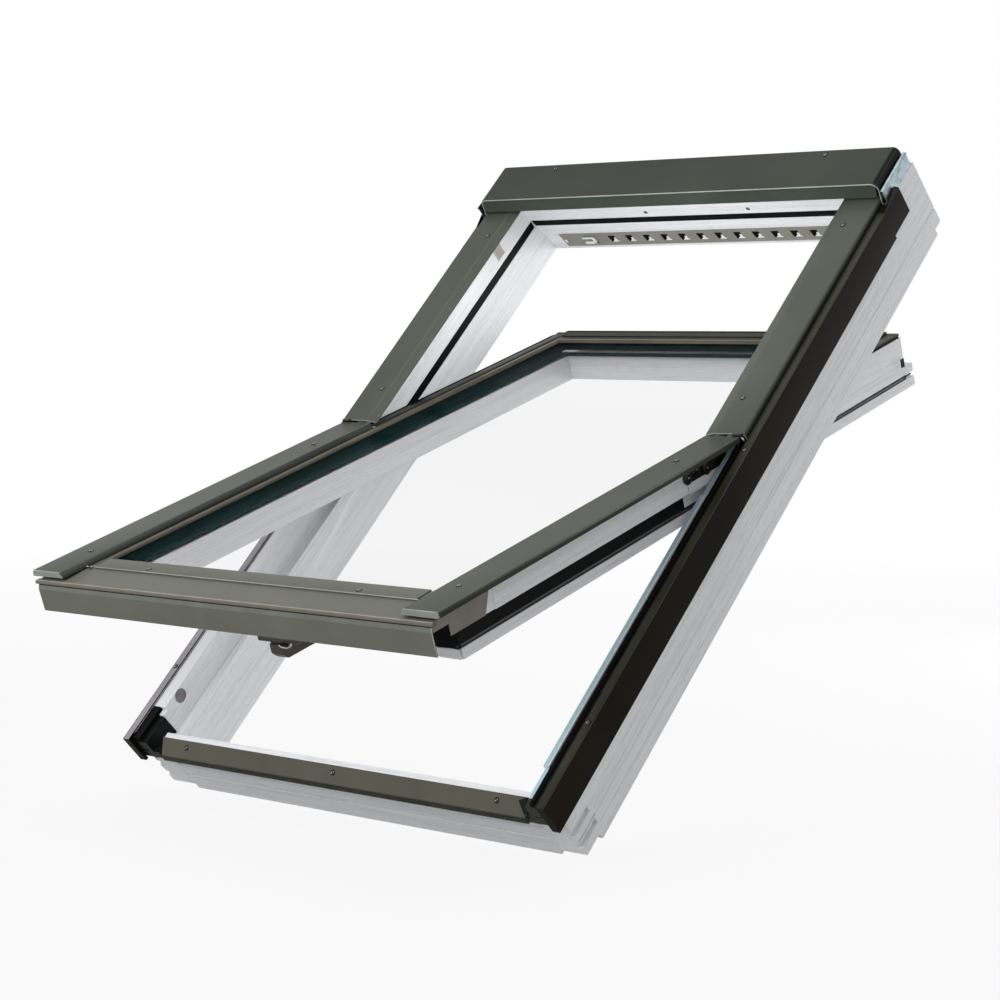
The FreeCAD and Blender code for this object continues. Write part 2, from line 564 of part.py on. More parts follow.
# Pivot: the sash's arm carries a steel pin, which turns in a cradle in the frame's groove
def pivot(name, side):
    cradle = new_body(f"pivot_cradle_{name}")
    pin_end = f"({UPPER_OUT} - sheetMetal - seat)"
    block = rectangle(f"{UPSTAND_OUT} + seat", "grooveLevel + seat", pin_end, COVER_UNDER)
    prism(cradle, "XZ_Plane", mirrored(side, block),
          f"{PIVOT} - pinRadius", f"{PIVOT} + cradleLength")
    arm = new_body(f"pivot_arm_{name}", True)
    plate = rectangle(f"{SASH_OUT} - armRoot", "sashFace + seat", UPSTAND_OUT, COVER_UNDER)
    prism(arm, "XZ_Plane", mirrored(side, plate), f"{PIVOT} - armLength", f"{PIVOT} + pinRadius")
    housing = rectangle(f"{SASH_OUT} + seat", "sashShoulder", SHOULDER_OUT, "sashFace + seat")
    prism(arm, "XZ_Plane", mirrored(side, housing), f"{PIVOT} - armLength", f"{PIVOT} - swingGap")
    pin_start = UPSTAND_OUT
    if side < 0:
        pin_start, pin_end = f"-({pin_end})", f"-({pin_start})"
    rod(arm, "YZ_Plane", PIVOT, "pivotLevel", "pinRadius", pin_start, pin_end)
    bore(cradle, "YZ_Plane", PIVOT, "pivotLevel", "pinRadius + pinPlay", pin_start, pin_end)


# Sash timber: the stiles run through, the rails stand between them
def sash_stile(name, side):
    body = new_body(f"sash_stile_{name}", True)
    section = [(SASH_IN, "sashBack"), (LIP_IN, "sashBack"), (LIP_IN, "lipFoot"),
               (SASH_OUT, "lipFoot"), (SASH_OUT, "sashBack"),
               (f"{SASH_OUT} - sealDepth", "sashBack"), (f"{SASH_OUT} - sealDepth", "grooveTop"),
               (SASH_OUT, "grooveTop"), (SASH_OUT, "sashFace"),
               (f"{SASH_IN} + sashRebate", "sashFace"), (f"{SASH_IN} + sashRebate", GLASS_BED),
               (SASH_IN, GLASS_BED)]
    prism(body, "XZ_Plane", mirrored(side, section), "sashFoot", SASH_TOP)
    shoulder = rectangle(SASH_OUT, "sashShoulder", SHOULDER_OUT, "sashFace")
    shoulder_end = f"{PIVOT} - armLength - swingGap"
    prism(body, "XZ_Plane", mirrored(side, shoulder), "sashFoot", shoulder_end)
    # thinner where the side plate lies on it
    sunk = rectangle(f"{SHOULDER_OUT} - sheetMetal - seat", "sashShoulder - overcut",
                     f"{SHOULDER_OUT} + overcut", "sashFace + overcut")
    cut(body, "XZ_Plane", mirrored(side, sunk), "sashFoot - overcut", "plateEnd + seat")
    # nosing and lip run on past the upper end
    for start, low, high in ((SASH_IN, "grooveTop", "noseTop"), (LIP_IN, "lipFoot", "sashBack")):
        tongue = rectangle(start, low, SASH_OUT, high)
        prism(body, "XZ_Plane", mirrored(side, tongue), SASH_TOP, f"{SASH_TOP} + noseReach")
    web = rectangle(SASH_IN, "sashBack", f"{SASH_OUT} - sealDepth", "grooveTop")
    prism(body, "XZ_Plane", mirrored(side, web), SASH_TOP, f"{SASH_TOP} + noseReach - sealDepth")
    # black seal under the shoulder is let in
    channel = rectangle(f"{SASH_OUT} - sealDepth", "grooveTop", f"{SASH_OUT} + overcut", "sashShoulder")
    cut(body, "XZ_Plane", mirrored(side, channel), "sashFoot - overcut", shoulder_end)
    seal = new_body(f"sash_seal_{name}", True)
    foot = "sashFoot - sealDepth"
    strip = rectangle(f"{SASH_OUT} - sealDepth + seat", "grooveTop", SASH_OUT, "sashShoulder - seat")
    prism(seal, "XZ_Plane", mirrored(side, strip), foot, f"{shoulder_end} - seat")
    bead = rectangle(f"{SASH_OUT} - sealDepth + seat", "sashBack + seat", f"{SASH_OUT} - overcut",
                     "grooveTop")
    prism(seal, "XZ_Plane", mirrored(side, bead), foot, SASH_TOP)
    # and turns round the timber's lower end
    end_out = f"{SHOULDER_OUT} - sheetMetal - seat"
    end = [(SASH_IN, "sashBack + seat"), (SASH_OUT, "sashBack + seat"), (SASH_OUT, "sashShoulder"),
           (end_out, "sashShoulder"), (end_out, "plateLow - seat"), (SASH_IN, "plateLow - seat")]
    prism(seal, "XZ_Plane", mirrored(side, end), foot, "sashFoot - seat")


def side_plate(name, side):
    body = new_body(f"sash_side_plate_{name}", True)
    front = "-apronReach + apronGroove + 2 * sheetMetal"
    start, end = f"{SHOULDER_OUT} - sheetMetal", SHOULDER_OUT
    if side < 0:
        start, end = f"-{SHOULDER_OUT}", f"-({SHOULDER_OUT} - sheetMetal)"
    prism(body, "YZ_Plane", [
        (front, "apronLevel + apronGroove - seat"), ("sashFoot", "sashFace"),
        ("plateEnd", "sashFace"), ("plateEnd - plateSlant", "sashShoulder"),
        ("plateNotch", "sashShoulder"), ("plateNotch", "plateLow"), (front, "plateLow"),
    ], start, end)


for name, side in SIDES:
    pivot(name, side)
    sash_stile(name, side)
    cover(f"sash_cover_{name}", side, LOWER_OUT, "lowerFlange", "coverLip",
          "-lowerCoverFoot", f"{PIVOT} - coverEndGap", True)
    side_plate(name, side)
    edge = new_body(f"sash_edge_{name}", True)
    prism(edge, "XZ_Plane", mirrored(side, rectangle(
        f"{SASH_OUT} - edgeWidth", "sashFace + seat", SASH_OUT, "edgeLevel")),
        f"{PIVOT} + pinRadius + swingGap", f"{SASH_TOP} - edgeEnd")

bottom_rail = new_body("sash_bottom_rail", True)
RAIL_TOP = "(sashFoot + sashBottomRail)"
prism(bottom_rail, "YZ_Plane", [
    ("sashFoot", "lipFoot"), (RAIL_TOP, "lipFoot"), (RAIL_TOP, GLASS_BED),
    ("sashFoot", GLASS_BED),
], f"-{SASH_IN}", SASH_IN)

top_rail = new_body("sash_top_rail", True)
RAIL_FOOT = f"({SASH_TOP} - sashTopRail)"
NOSE = f"({SASH_TOP} + noseReach)"
prism(top_rail, "YZ_Plane", [
    (RAIL_FOOT, "sashBack"), (f"{NOSE} - lipWidth", "sashBack"), (f"{NOSE} - lipWidth", "lipFoot"),
    (NOSE, "lipFoot"), (NOSE, "sashBack"), (f"{NOSE} - sealDepth", "sashBack"),
    (f"{NOSE} - sealDepth", "grooveTop"), (NOSE, "grooveTop"),
    (NOSE, "noseTop"), (SASH_TOP, "noseTop"), (SASH_TOP, "sashFace"),
    (f"{RAIL_FOOT} + topRebate", "sashFace"), (f"{RAIL_FOOT} + topRebate", GLASS_BED),
    (RAIL_FOOT, GLASS_BED),
], f"-{SASH_IN}", SASH_IN)

top_edge = new_body("sash_edge_top", True)
prism(top_edge, "YZ_Plane", [
    (f"{SASH_TOP} - edgeWidth", "sashFace + seat"), (f"{SASH_TOP} + edgeOver", "sashFace + seat"),
    (f"{SASH_TOP} + edgeOver", "coverLevel"), (SASH_TOP, "coverLevel"),
    (f"{SASH_TOP} - edgeWidth", "sashFace + seat + sheetMetal"),
], f"-({COVER_IN} - swingGap)", f"{COVER_IN} - swingGap")

# Glass unit, standing in the rebates
GLASS_OUT = f"({SASH_IN} + sashRebate - seat)"
GLASS_FOOT = "(sashFoot + sheetMetal)"
GLASS_TOP = f"({RAIL_FOOT} + topRebate - seat)"


def ring(name, inset, width, low, high):
    """A flat frame that follows the edge of the glass."""
    body = new_body(name, True)
    for job, step in ((prism, inset), (cut, f"({inset} + {width})")):
        job(body, "XY_Plane", rectangle(
            f"-({GLASS_OUT} - {step})", f"{GLASS_FOOT} + {step}",
            f"{GLASS_OUT} - {step}", f"{GLASS_TOP} - {step}"), low, high)


for label, level in (("glass_outer", "paneLevel - paneThickness"),
                     ("glass_inner", "paneLevel - 2 * paneThickness - paneGap")):
    pane = new_body(label, True)
    prism(pane, "XY_Plane",
          rectangle(f"-{GLASS_OUT}", GLASS_FOOT, GLASS_OUT, GLASS_TOP),
          level, f"{level} + paneThickness")
ring("glass_spacer", "spacerInset", "spacerWidth", "paneLevel - paneThickness - paneGap + seat",
     "paneLevel - paneThickness - seat")
ring("glazing_seal", "seat", "sealWidth", "paneLevel + seat", "sashFace - seat")

apron = new_body("sash_apron", True)
APRON = "(-apronReach)"
prism(apron, "YZ_Plane", [
    ("sashFoot + apronLap", "sashFace + seat"),
    ("sashFoot + apronLap", "sashFace + seat + sheetMetal"),
    ("sashFoot", "sashFace + seat + sheetMetal"),
    (f"{APRON} + apronGroove", "apronLevel + apronGroove + sheetMetal"),
    (f"{APRON} + apronGroove", "apronLevel + sheetMetal"), (APRON, "apronLevel"),
    (f"{APRON} + sheetMetal", "apronFoot"), (f"{APRON} + 2 * sheetMetal", "apronFoot"),
    (f"{APRON} + sheetMetal", "apronLevel - sheetMetal"),
    (f"{APRON} + apronGroove + sheetMetal", "apronLevel"),
    (f"{APRON} + apronGroove + sheetMetal", "apronLevel + apronGroove"),
    ("sashFoot", "sashFace + seat"),
], f"-({HALF} - apronInset)", f"{HALF} - apronInset")

# Handle on the room side of the bottom rail
handle = new_body("sash_handle", True)
PLATE_FOOT = "(lipFoot - seat - handlePlate)"
prism(handle, "XY_Plane", rectangle("-handleHalf", "handleFoot", "handleHalf",
                                    "handleFoot + handleLength"), PLATE_FOOT, "lipFoot - seat")
prism(handle, "YZ_Plane", [
    ("leverFoot", PLATE_FOOT), ("leverFoot", "leverLevel + leverChamfer"),
    ("leverFoot + leverChamfer", "leverLevel"), ("leverFoot + handleLength", "leverLevel"),
    ("leverFoot + handleLength", PLATE_FOOT),
], "-leverHalf", "leverHalf")

doc.recompute()
nodes = frame_nodes + sash_nodes
for item in doc.Objects:
    if "Invalid" in item.State or "Error" in item.State:
        raise RuntimeError(f"{item.Label}: {item.State}")
for node in nodes:
    if node.Shape.isNull() or not node.Shape.isValid():
        raise RuntimeError(f"{node.Label}: no valid shape")
os.makedirs("parts", exist_ok=True)
for node in nodes:
    node.Shape.exportStep(f"parts/{node.Label}.step")
print(len(nodes), "pieces written")
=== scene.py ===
import bmesh
import bpy
import math
from mathutils import Matrix, Vector


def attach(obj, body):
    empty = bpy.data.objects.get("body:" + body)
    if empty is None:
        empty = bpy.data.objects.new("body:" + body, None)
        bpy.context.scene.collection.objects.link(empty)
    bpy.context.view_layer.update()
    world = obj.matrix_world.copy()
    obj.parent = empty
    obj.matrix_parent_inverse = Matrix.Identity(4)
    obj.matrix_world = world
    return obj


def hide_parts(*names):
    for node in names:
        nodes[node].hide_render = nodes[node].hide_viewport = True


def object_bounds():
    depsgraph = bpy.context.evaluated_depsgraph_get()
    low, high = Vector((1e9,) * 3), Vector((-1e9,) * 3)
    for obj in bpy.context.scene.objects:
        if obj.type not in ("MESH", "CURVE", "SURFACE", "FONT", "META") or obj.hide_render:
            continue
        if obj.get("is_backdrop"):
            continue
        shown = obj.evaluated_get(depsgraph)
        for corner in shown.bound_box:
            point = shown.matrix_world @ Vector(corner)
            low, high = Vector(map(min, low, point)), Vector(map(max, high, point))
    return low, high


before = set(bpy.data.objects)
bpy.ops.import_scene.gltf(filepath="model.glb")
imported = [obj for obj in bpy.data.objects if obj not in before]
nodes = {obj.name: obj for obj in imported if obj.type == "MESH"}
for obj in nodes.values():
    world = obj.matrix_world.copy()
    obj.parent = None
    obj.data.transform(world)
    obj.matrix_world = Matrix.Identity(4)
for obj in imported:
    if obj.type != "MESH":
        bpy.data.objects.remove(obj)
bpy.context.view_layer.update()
scene = bpy.context.scene
mm = 0.001
bothSides = (("left", -1), ("right", 1))
print("frame loaded:", len(nodes), "pieces")

# the roof's slope, and the sash turned about its pivots; a piece is made lying flat, the sash closed
hang = {"pitch": 45.0, "open": 27.5, "pivotUp": 611.5, "pivotOut": 138.0, "sill": 22.0}


def layOut(hang):
    frameSeat = Matrix.Rotation(math.radians(hang["pitch"]), 4, "X") @ Matrix.Translation(
        Vector((0, -hang["sill"] / 2, 0)) * mm)
    pivot = Vector((0, hang["pivotUp"], hang["pivotOut"])) * mm
    turn = Matrix.Rotation(math.radians(-hang["open"]), 4, "X")
    sashSeat = frameSeat @ Matrix.Translation(pivot) @ turn @ Matrix.Translation(-pivot)
    return {"frame": frameSeat, "sash": sashSeat}


seats = layOut(hang)


def linear(code):
    channels = [int(code[i:i + 2], 16) / 255 for i in (1, 3, 5)]
    return [c / 12.92 if c <= 0.04045 else ((c + 0.055) / 1.055) ** 2.4 for c in channels] + [1.0]


# stops are the places and colours of a ramp
def addNode(tree, kind, inputs=None, stops=(), **settings):
    node = tree.nodes.new(kind)
    for key, value in settings.items():
        setattr(node, key, value)
    for key, value in (inputs or {}).items():
        if isinstance(value, bpy.types.NodeSocket):
            tree.links.new(value, node.inputs[key])
        else:
            node.inputs[key].default_value = value
    if stops:
        elements = node.color_ramp.elements
        elements[0].position, elements[-1].position = stops[0][0], stops[-1][0]
        for place, code in stops[1:-1]:
            elements.new(place)
        for element, (place, code) in zip(elements, stops):
            element.color = linear(code)
    return node


def newMaterial(name, shaderInputs):
    material = bpy.data.materials.new(name)
    material.use_nodes = True
    tree = material.node_tree
    shader = tree.nodes["Principled BSDF"]
    for key, value in shaderInputs.items():
        shader.inputs[key].default_value = value
    return material, tree, shader


# one patch of pattern has this size in mm: one number, or across, up and out
def patternSpace(tree, size):
    size = size if isinstance(size, list) else [size] * 3
    coords = addNode(tree, "ShaderNodeTexCoord")
    return addNode(tree, "ShaderNodeMapping", {
        "Vector": coords.outputs["Object"], "Scale": [s * mm for s in size]},
        vector_type="TEXTURE").outputs["Vector"]


# planed pine under white glaze: soft grey year rings run with the board, fine pores break the gloss
pine = {"light": "#f1f2f4", "middle": "#e6e7ea", "dark": "#c9cbd1", "ring": 3.2, "ringLength": 260,
        "pore": 0.9, "poreLength": 16, "roughness": 0.48, "glossier": 0.08, "duller": 0.14}


def paintedPine(name, along):
    material, tree, shader = newMaterial(name, {"IOR": 1.5, "Coat Weight": 0.12, "Coat Roughness": 0.3})
    ringSize, poreSize = [pine["ring"]] * 3, [pine["pore"]] * 3
    ringSize[along], poreSize[along] = pine["ringLength"], pine["poreLength"]
    rings = addNode(tree, "ShaderNodeTexNoise", {
        "Vector": patternSpace(tree, ringSize), "Scale": 1.0, "Detail": 4.0, "Roughness": 0.62, "Distortion": 0.5})
    pores = addNode(tree, "ShaderNodeTexNoise", {
        "Vector": patternSpace(tree, poreSize), "Scale": 1.0, "Detail": 2.0})
    height = addNode(tree, "ShaderNodeMix", {0: 0.4, 2: rings.outputs["Fac"], 3: pores.outputs["Fac"]})
    tone = addNode(tree, "ShaderNodeValToRGB", {"Fac": height.outputs[0]}, [
        (0.30, pine["dark"]), (0.46, pine["middle"]), (0.60, pine["light"])])
    bump = addNode(tree, "ShaderNodeBump", {
        "Height": height.outputs[0], "Strength": 0.35, "Distance": 0.5 * mm})
    rough = addNode(tree, "ShaderNodeMapRange", {
        "Value": pores.outputs["Fac"], "To Min": pine["roughness"] - pine["glossier"],
        "To Max": pine["roughness"] + pine["duller"]})
    tree.links.new(tone.outputs["Color"], shader.inputs["Base Color"])
    tree.links.new(bump.outputs["Normal"], shader.inputs["Normal"])
    tree.links.new(rough.outputs[0], shader.inputs["Roughness"])
    return material


# a surface whose tone drifts a little over one patch and whose skin has fine grit, both in mm, depth too
gritLook = {"darkUntil": 0.32, "lightFrom": 0.68, "roughnessDrift": 0.06, "bump": 0.3}


def grittySurface(name, dark, light, patch, grit, roughness, depth, **shaderInputs):
    material, tree, shader = newMaterial(name, {k.replace("_", " "): v for k, v in shaderInputs.items()})
    drift = addNode(tree, "ShaderNodeTexNoise", {
        "Vector": patternSpace(tree, patch), "Scale": 1.0, "Detail": 3.0, "Roughness": 0.55})
    fine = addNode(tree, "ShaderNodeTexNoise", {
        "Vector": patternSpace(tree, grit), "Scale": 1.0, "Detail": 2.0})
    tone = addNode(tree, "ShaderNodeValToRGB", {"Fac": drift.outputs["Fac"]}, [
        (gritLook["darkUntil"], dark), (gritLook["lightFrom"], light)])
    rough = addNode(tree, "ShaderNodeMapRange", {
        "Value": drift.outputs["Fac"], "To Min": roughness - gritLook["roughnessDrift"],
        "To Max": roughness + gritLook["roughnessDrift"]})
    bump = addNode(tree, "ShaderNodeBump", {
        "Height": fine.outputs["Fac"], "Strength": gritLook["bump"], "Distance": depth * mm})
    tree.links.new(tone.outputs["Color"], shader.inputs["Base Color"])
    tree.links.new(rough.outputs[0], shader.inputs["Roughness"])
    tree.links.new(bump.outputs["Normal"], shader.inputs["Normal"])
    return material


# hot-dipped zinc: crystals some 9 mm wide, each with its own tone and gloss
zinc = {"crystal": 9, "dark": "#7c8d93", "light": "#a9b9bd", "glossy": 0.3, "dull": 0.5}


def galvanisedSteel(name):
    material, tree, shader = newMaterial(name, {"Metallic": 0.85})
    crystals = addNode(tree, "ShaderNodeTexVoronoi", {
        "Vector": patternSpace(tree, zinc["crystal"]), "Scale": 1.0, "Randomness": 1.0})
    grey = addNode(tree, "ShaderNodeRGBToBW", {"Color": crystals.outputs["Color"]})
    tone = addNode(tree, "ShaderNodeValToRGB", {"Fac": grey.outputs[0]}, [
        (0.15, zinc["dark"]), (0.85, zinc["light"])])
    rough = addNode(tree, "ShaderNodeMapRange", {
        "Value": grey.outputs[0], "To Min": zinc["glossy"], "To Max": zinc["dull"]})
    tree.links.new(tone.outputs["Color"], shader.inputs["Base Color"])
    tree.links.new(rough.outputs[0], shader.inputs["Roughness"])
    return material


# float glass: clear and neutral, its index lowered so that its four faces mirror little
def floatGlass(name):
    material, tree, shader = newMaterial(name, {
        "Base Color": linear("#fafafa"), "Roughness": 0.0, "IOR": 1.015, "Transmission Weight": 1.0})
    wave = addNode(tree, "ShaderNodeTexNoise", {
        "Vector": patternSpace(tree, 220), "Scale": 1.0, "Detail": 1.0})
    bump = addNode(tree, "ShaderNodeBump", {
        "Height": wave.outputs["Fac"], "Strength": 0.05, "Distance": 0.1 * mm})
    tree.links.new(bump.outputs["Normal"], shader.inputs["Normal"])
    return material


pineAlong = paintedPine("white glazed pine, stiles", 1)
pineAcross = paintedPine("white glazed pine, rails", 0)
# polyester stoved on aluminium: umber grey, satin, with a very fine orange peel
coatPeel = 1.6
umberGrey = grittySurface("umber grey polyester on aluminium", "#4a4d46", "#51544c", 160, coatPeel,
                          0.42, 0.05, IOR=1.18)
# the hood and its lip take copies of the same coat painted darker: painted shade
hoodShadeGrey = grittySurface("umber grey polyester on the hood", "#393c36", "#40433c", 160, coatPeel,
                         0.42, 0.05, IOR=1.15)
lipShadeGrey = grittySurface("umber grey polyester on the hood's lip", "#363c35", "#3e443d", 160, coatPeel,
                        0.4, 0.05, IOR=1.18)
# the apron's copy of the coat is painted lighter: painted light on its flatter face
apronLitGrey = grittySurface("umber grey polyester on the apron", "#64655c", "#6c6d64", 120, coatPeel,
                          0.38, 0.05, IOR=1.18)
# the same coat, painted lighter along cut and folded edges: a painted highlight
edgeHighlight = grittySurface("umber grey coat with a painted highlight on a sheet's edge", "#8b9189", "#a2a8a0", 30, 1.2,
                         0.3, 0.03, IOR=1.5)
# the skirts of the same coating, painted darker for the shade and dark reflection on their sides
umberShadeDark = grittySurface("umber polyester with painted shade on aluminium", "#14140f", "#1f1a12", 220, coatPeel,
                          0.34, 0.04, IOR=1.12)
# the same coat painted olive for the light and shade on folds, flanges, sides, the sash's upper edges and the right
# corner piece
oliveLightAndShade = grittySurface("umber polyester in painted olive light and shade", "#2c2d23", "#3a3b30", 120, coatPeel,
                           0.36, 0.04, IOR=1.2)
# the same coat painted pale violet grey: a painted reflection of the sky
skyReflectionPale = grittySurface("umber polyester with a painted reflection of the sky", "#8c878f", "#a09aa3", 120, coatPeel,
                         0.4, 0.04, IOR=1.45)
# the same coat on beads, sill and folds, each with the light and shade that falls on it painted into its tone:
# painted highlights on folds and noses, painted light on the sill
beadLightAndShade = grittySurface("umber coat on a bead, with painted light and shade", "#433f33", "#524d40", 60, 1.0, 0.3, 0.04, IOR=1.35)
sillLitGrey = grittySurface("umber grey polyester on the sill", "#58574d", "#605f55", 120, coatPeel,
                         0.42, 0.05, IOR=1.2)
noseLitBrown = grittySurface("umber grey coat on a bead", "#6c665b", "#767065", 60, 1.2, 0.38, 0.04, IOR=1.2)
noseHighlight = grittySurface("umber grey coat with a painted highlight", "#83877e", "#90948b", 60, 1.2,
                         0.35, 0.04, IOR=1.3)
foldHighlight = grittySurface("umber grey coat with a painted highlight on a fold", "#666a62", "#72766d", 60, 1.2, 0.35, 0.04, IOR=1.3)
zincStrip = galvanisedSteel("hot-dipped galvanised steel")
plateBrown = grittySurface("grey brown coated plate", "#78736b", "#857f76", 60, 1.2, 0.45, 0.05)
# moulded ABS: black, soft sheen, light spark erosion grain; the same black also paints the shade in the hood's open
# ends and in a gap at the handle
blackAbsAndShade = grittySurface("black moulded ABS, also black painted shade", "#0b0d0d", "#131616", 40, 0.9, 0.34, 0.08, IOR=1.22)
# extruded EPDM: matt black, faint lines of the die; the same black also paints the shade in a gap beside each upper
# cover and in the apron's groove
gasketBlackAndShade = grittySurface("extruded EPDM rubber, also black painted shade", "#070808", "#0e0f10", [30, 200, 2], [0.8, 30, 0.8], 0.6, 0.1,
                            IOR=1.15)
# the same rubber where it is rolled smooth and shines, painted dark grey: a painted sheen
gasketPaintedSheen = grittySurface("rolled EPDM rubber with a painted sheen", "#232524", "#2f3130", [30, 200, 30], [0.8, 30, 0.8], 0.22, 0.05)
# foamed tape: matt, with a pale blue skin
paleTape = grittySurface("pale blue sealing tape", "#a9cfda", "#bcdfe7", [30, 90, 30], 1.0, 0.5, 0.05)
# coated spacer and butyl, seen through the pane as one even dark teal; on the butyl strip the teal also paints the
# shade under the glass's edge
spacerDarkAndShade = grittySurface("dark teal edge spacer, also painted shade", "#0a2b2e", "#0f3437", 200, 1.5, 0.5, 0.01, IOR=1.2)
# stamped steel: black zinc that turns brownish grey where it is handled, bright zinc with a hard shine
hingeZinc = grittySurface("black zinc plated steel", "#1c1715", "#342b28", 5, 0.8, 0.3, 0.15, Metallic=0.5)
# the bright zinc also paints highlights: a glint on each screw head and a bright line at the handle
brightSteelAndHighlight = grittySurface("bright zinc plated steel, also painted highlights", "#b9bec2", "#dfe3e6", 8, 0.5, 0.22, 0.04, Metallic=1.0)
# screw heads in the covers' lacquer: dark and glossy
screwDark = grittySurface("lacquered screw head", "#23231f", "#34342e", 3, 0.4, 0.12, 0.02,
                          Coat_Weight=0.8, Coat_Roughness=0.05)
grilleAlu = grittySurface("grey beige coated grille", "#7b7b71", "#88887e", 60, 1.2, 0.42, 0.05)
# moulded nylon: even colour, dull sheen, slightly orange-peeled skin
# the pale nylon also paints the light that shows through the grille's slots
paleNylonAndLight = grittySurface("pale moulded nylon, also painted light", "#dde2e1", "#edf1f0", 20, 0.8, 0.4, 0.06)
beigeNylon = grittySurface("beige moulded nylon", "#a89f94", "#b8afa4", 20, 0.8, 0.5, 0.08)
plugBrown = grittySurface("grey brown moulded nylon", "#7a6f73", "#887c80", 12, 0.8, 0.5, 0.08)
# anodised and finely blasted: a soft metal sheen without grain lines
handleAlu = grittySurface("dark anodised aluminium", "#45423d", "#524f49", 40, 0.7, 0.34, 0.06, Metallic=0.7)
# black painted shade in the grille's slots
shadowBlack = grittySurface("black painted shade behind the grille's slots", "#070505", "#140d0b", 10, 0.8, 0.85, 0.2, IOR=1.2)
paneGlass = floatGlass("clear float glass")
print("materials ready:", len(bpy.data.materials))


def addPiece(label, bm, body, material, replaces=(), smoothBelow=40):
    mesh = bpy.data.meshes.new(label)
    bmesh.ops.recalc_face_normals(bm, faces=bm.faces)
    bm.to_mesh(mesh)
    bm.free()
    mesh.shade_smooth()
    mesh.set_sharp_from_angle(angle=math.radians(smoothBelow))
    piece = bpy.data.objects.new(label, mesh)
    scene.collection.objects.link(piece)
    piece.data.materials.append(material)
    piece.matrix_world = seats[body]
    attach(piece, body)
    if replaces:
        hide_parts(*replaces)
    return piece


# a CAD piece again, with its arrises eased as on the real one
def easeEdges(node, body, material, radius, steps=2):
    mesh = nodes[node].data.copy()
    mesh.transform(seats[body].inverted())
    bm = bmesh.new()
    bm.from_mesh(mesh)
    bpy.data.meshes.remove(mesh)
    bmesh.ops.remove_doubles(bm, verts=bm.verts, dist=0.01 * mm)
    bmesh.ops.dissolve_limit(bm, angle_limit=math.radians(0.5), verts=bm.verts, edges=bm.edges)
    piece = addPiece(node + "_eased", bm, body, material, (node,), 30)
    bevel = piece.modifiers.new("eased", "BEVEL")
    bevel.width, bevel.segments = radius * mm, steps
    bevel.limit_method, bevel.angle_limit = "ANGLE", math.radians(30)
    bevel.harden_normals = True


def ring(bm, points):
    return [bm.verts.new(Vector(point) * mm) for point in points]


# rings of points joined one to the next, the first and last closed
def skin(bm, rings):
    for low, high in zip(rings, rings[1:]):
        for i in range(len(low)):
            j = (i + 1) % len(low)
            bm.faces.new((low[i], low[j], high[j], high[i]))
    bm.faces.new(rings[0][::-1])
    bm.faces.new(rings[-1])


# a closed outline drawn in mm and pulled straight: x is across, y up the slope, z outward
def pull(bm, outline, start, end, axis="y"):
    order = {"x": (2, 0, 1), "y": (0, 2, 1), "z": (0, 1, 2)}[axis]
    skin(bm, [ring(bm, [[(a, b, place)[k] for k in order] for a, b in outline]) for place in (start, end)])


# the outline of a bent sheet, from the line of one face: bends get their radius, the other face its offset
def bentSheet(line, thickness, radius, steps=4):
    bent = [Vector(line[0])]
    for before, corner, after in zip(line, line[1:], line[2:]):
        corner = Vector(corner)
        legs = [Vector(before) - corner, Vector(after) - corner]
        reach = radius / math.tan(legs[0].angle(legs[1]) / 2)
        reach = min(reach, legs[0].length * 0.48, legs[1].length * 0.48)
        start, end = (corner + leg.normalized() * reach for leg in legs)
        for i in range(steps + 1):
            t = i / steps
            bent.append(start * (1 - t) ** 2 + corner * 2 * t * (1 - t) + end * t * t)
    bent.append(Vector(line[-1]))
    other = []
    for i, point in enumerate(bent):
        ahead = (bent[min(i + 1, len(bent) - 1)] - bent[min(i, len(bent) - 2)]).normalized()
        behind = (bent[max(i, 1)] - bent[max(i - 1, 0)]).normalized()
        side = Vector((-(ahead + behind).y, (ahead + behind).x)).normalized()
        other.append(point + side * thickness / max(0.4, side.dot(Vector((-ahead.y, ahead.x)))))
    return [tuple(p) for p in bent + other[::-1]]


# a round part: (radius, height) pairs turned about an axis through the centre
def turned(bm, profile, centre, axis, segments=24):
    axis = Vector(axis).normalized()
    side = axis.orthogonal().normalized()
    arms = [Matrix.Rotation(2 * math.pi * i / segments, 3, axis) @ side for i in range(segments)]
    skin(bm, [ring(bm, [Vector(centre) + axis * height + arm * radius for arm in arms])
              for radius, height in profile])


# a round bead that follows points in mm
def bead(bm, points, radius, segments=8):
    points = [Vector(p) for p in points]
    turns = [2 * math.pi * k / segments for k in range(segments)]
    rings, side = [], None
    for i, point in enumerate(points):
        ahead = (points[min(i + 1, len(points) - 1)] - points[max(i - 1, 0)]).normalized()
        side = ahead.orthogonal() if side is None else side - ahead * side.dot(ahead)
        side.normalize()
        up = ahead.cross(side)
        rings.append(ring(bm, [point + (side * math.cos(a) + up * math.sin(a)) * radius for a in turns]))
    skin(bm, rings)


def mirroredX(outline, side):
    return [(side * x, z) for x, z in outline]


def rectangle(left, right, low, high):
    return [(left, low), (right, low), (right, high), (left, high)]


def upSlope(x, start, end, z):
    return [(x, start, z), (x, end, z)]


# a piece pulled from one outline or more: (outline, start, end)
def pulledPiece(label, body, material, pulls, axis="y", replaces=(), smoothBelow=40):
    bm = bmesh.new()
    for outline, start, end in pulls:
        pull(bm, outline, start, end, axis)
    addPiece(label, bm, body, material, replaces, smoothBelow)


# a piece made of round beads: (points, radius)
def beadPiece(label, body, material, beads, segments=6):
    bm = bmesh.new()
    for points, radius in beads:
        bead(bm, points, radius, segments)
    addPiece(label, bm, body, material)


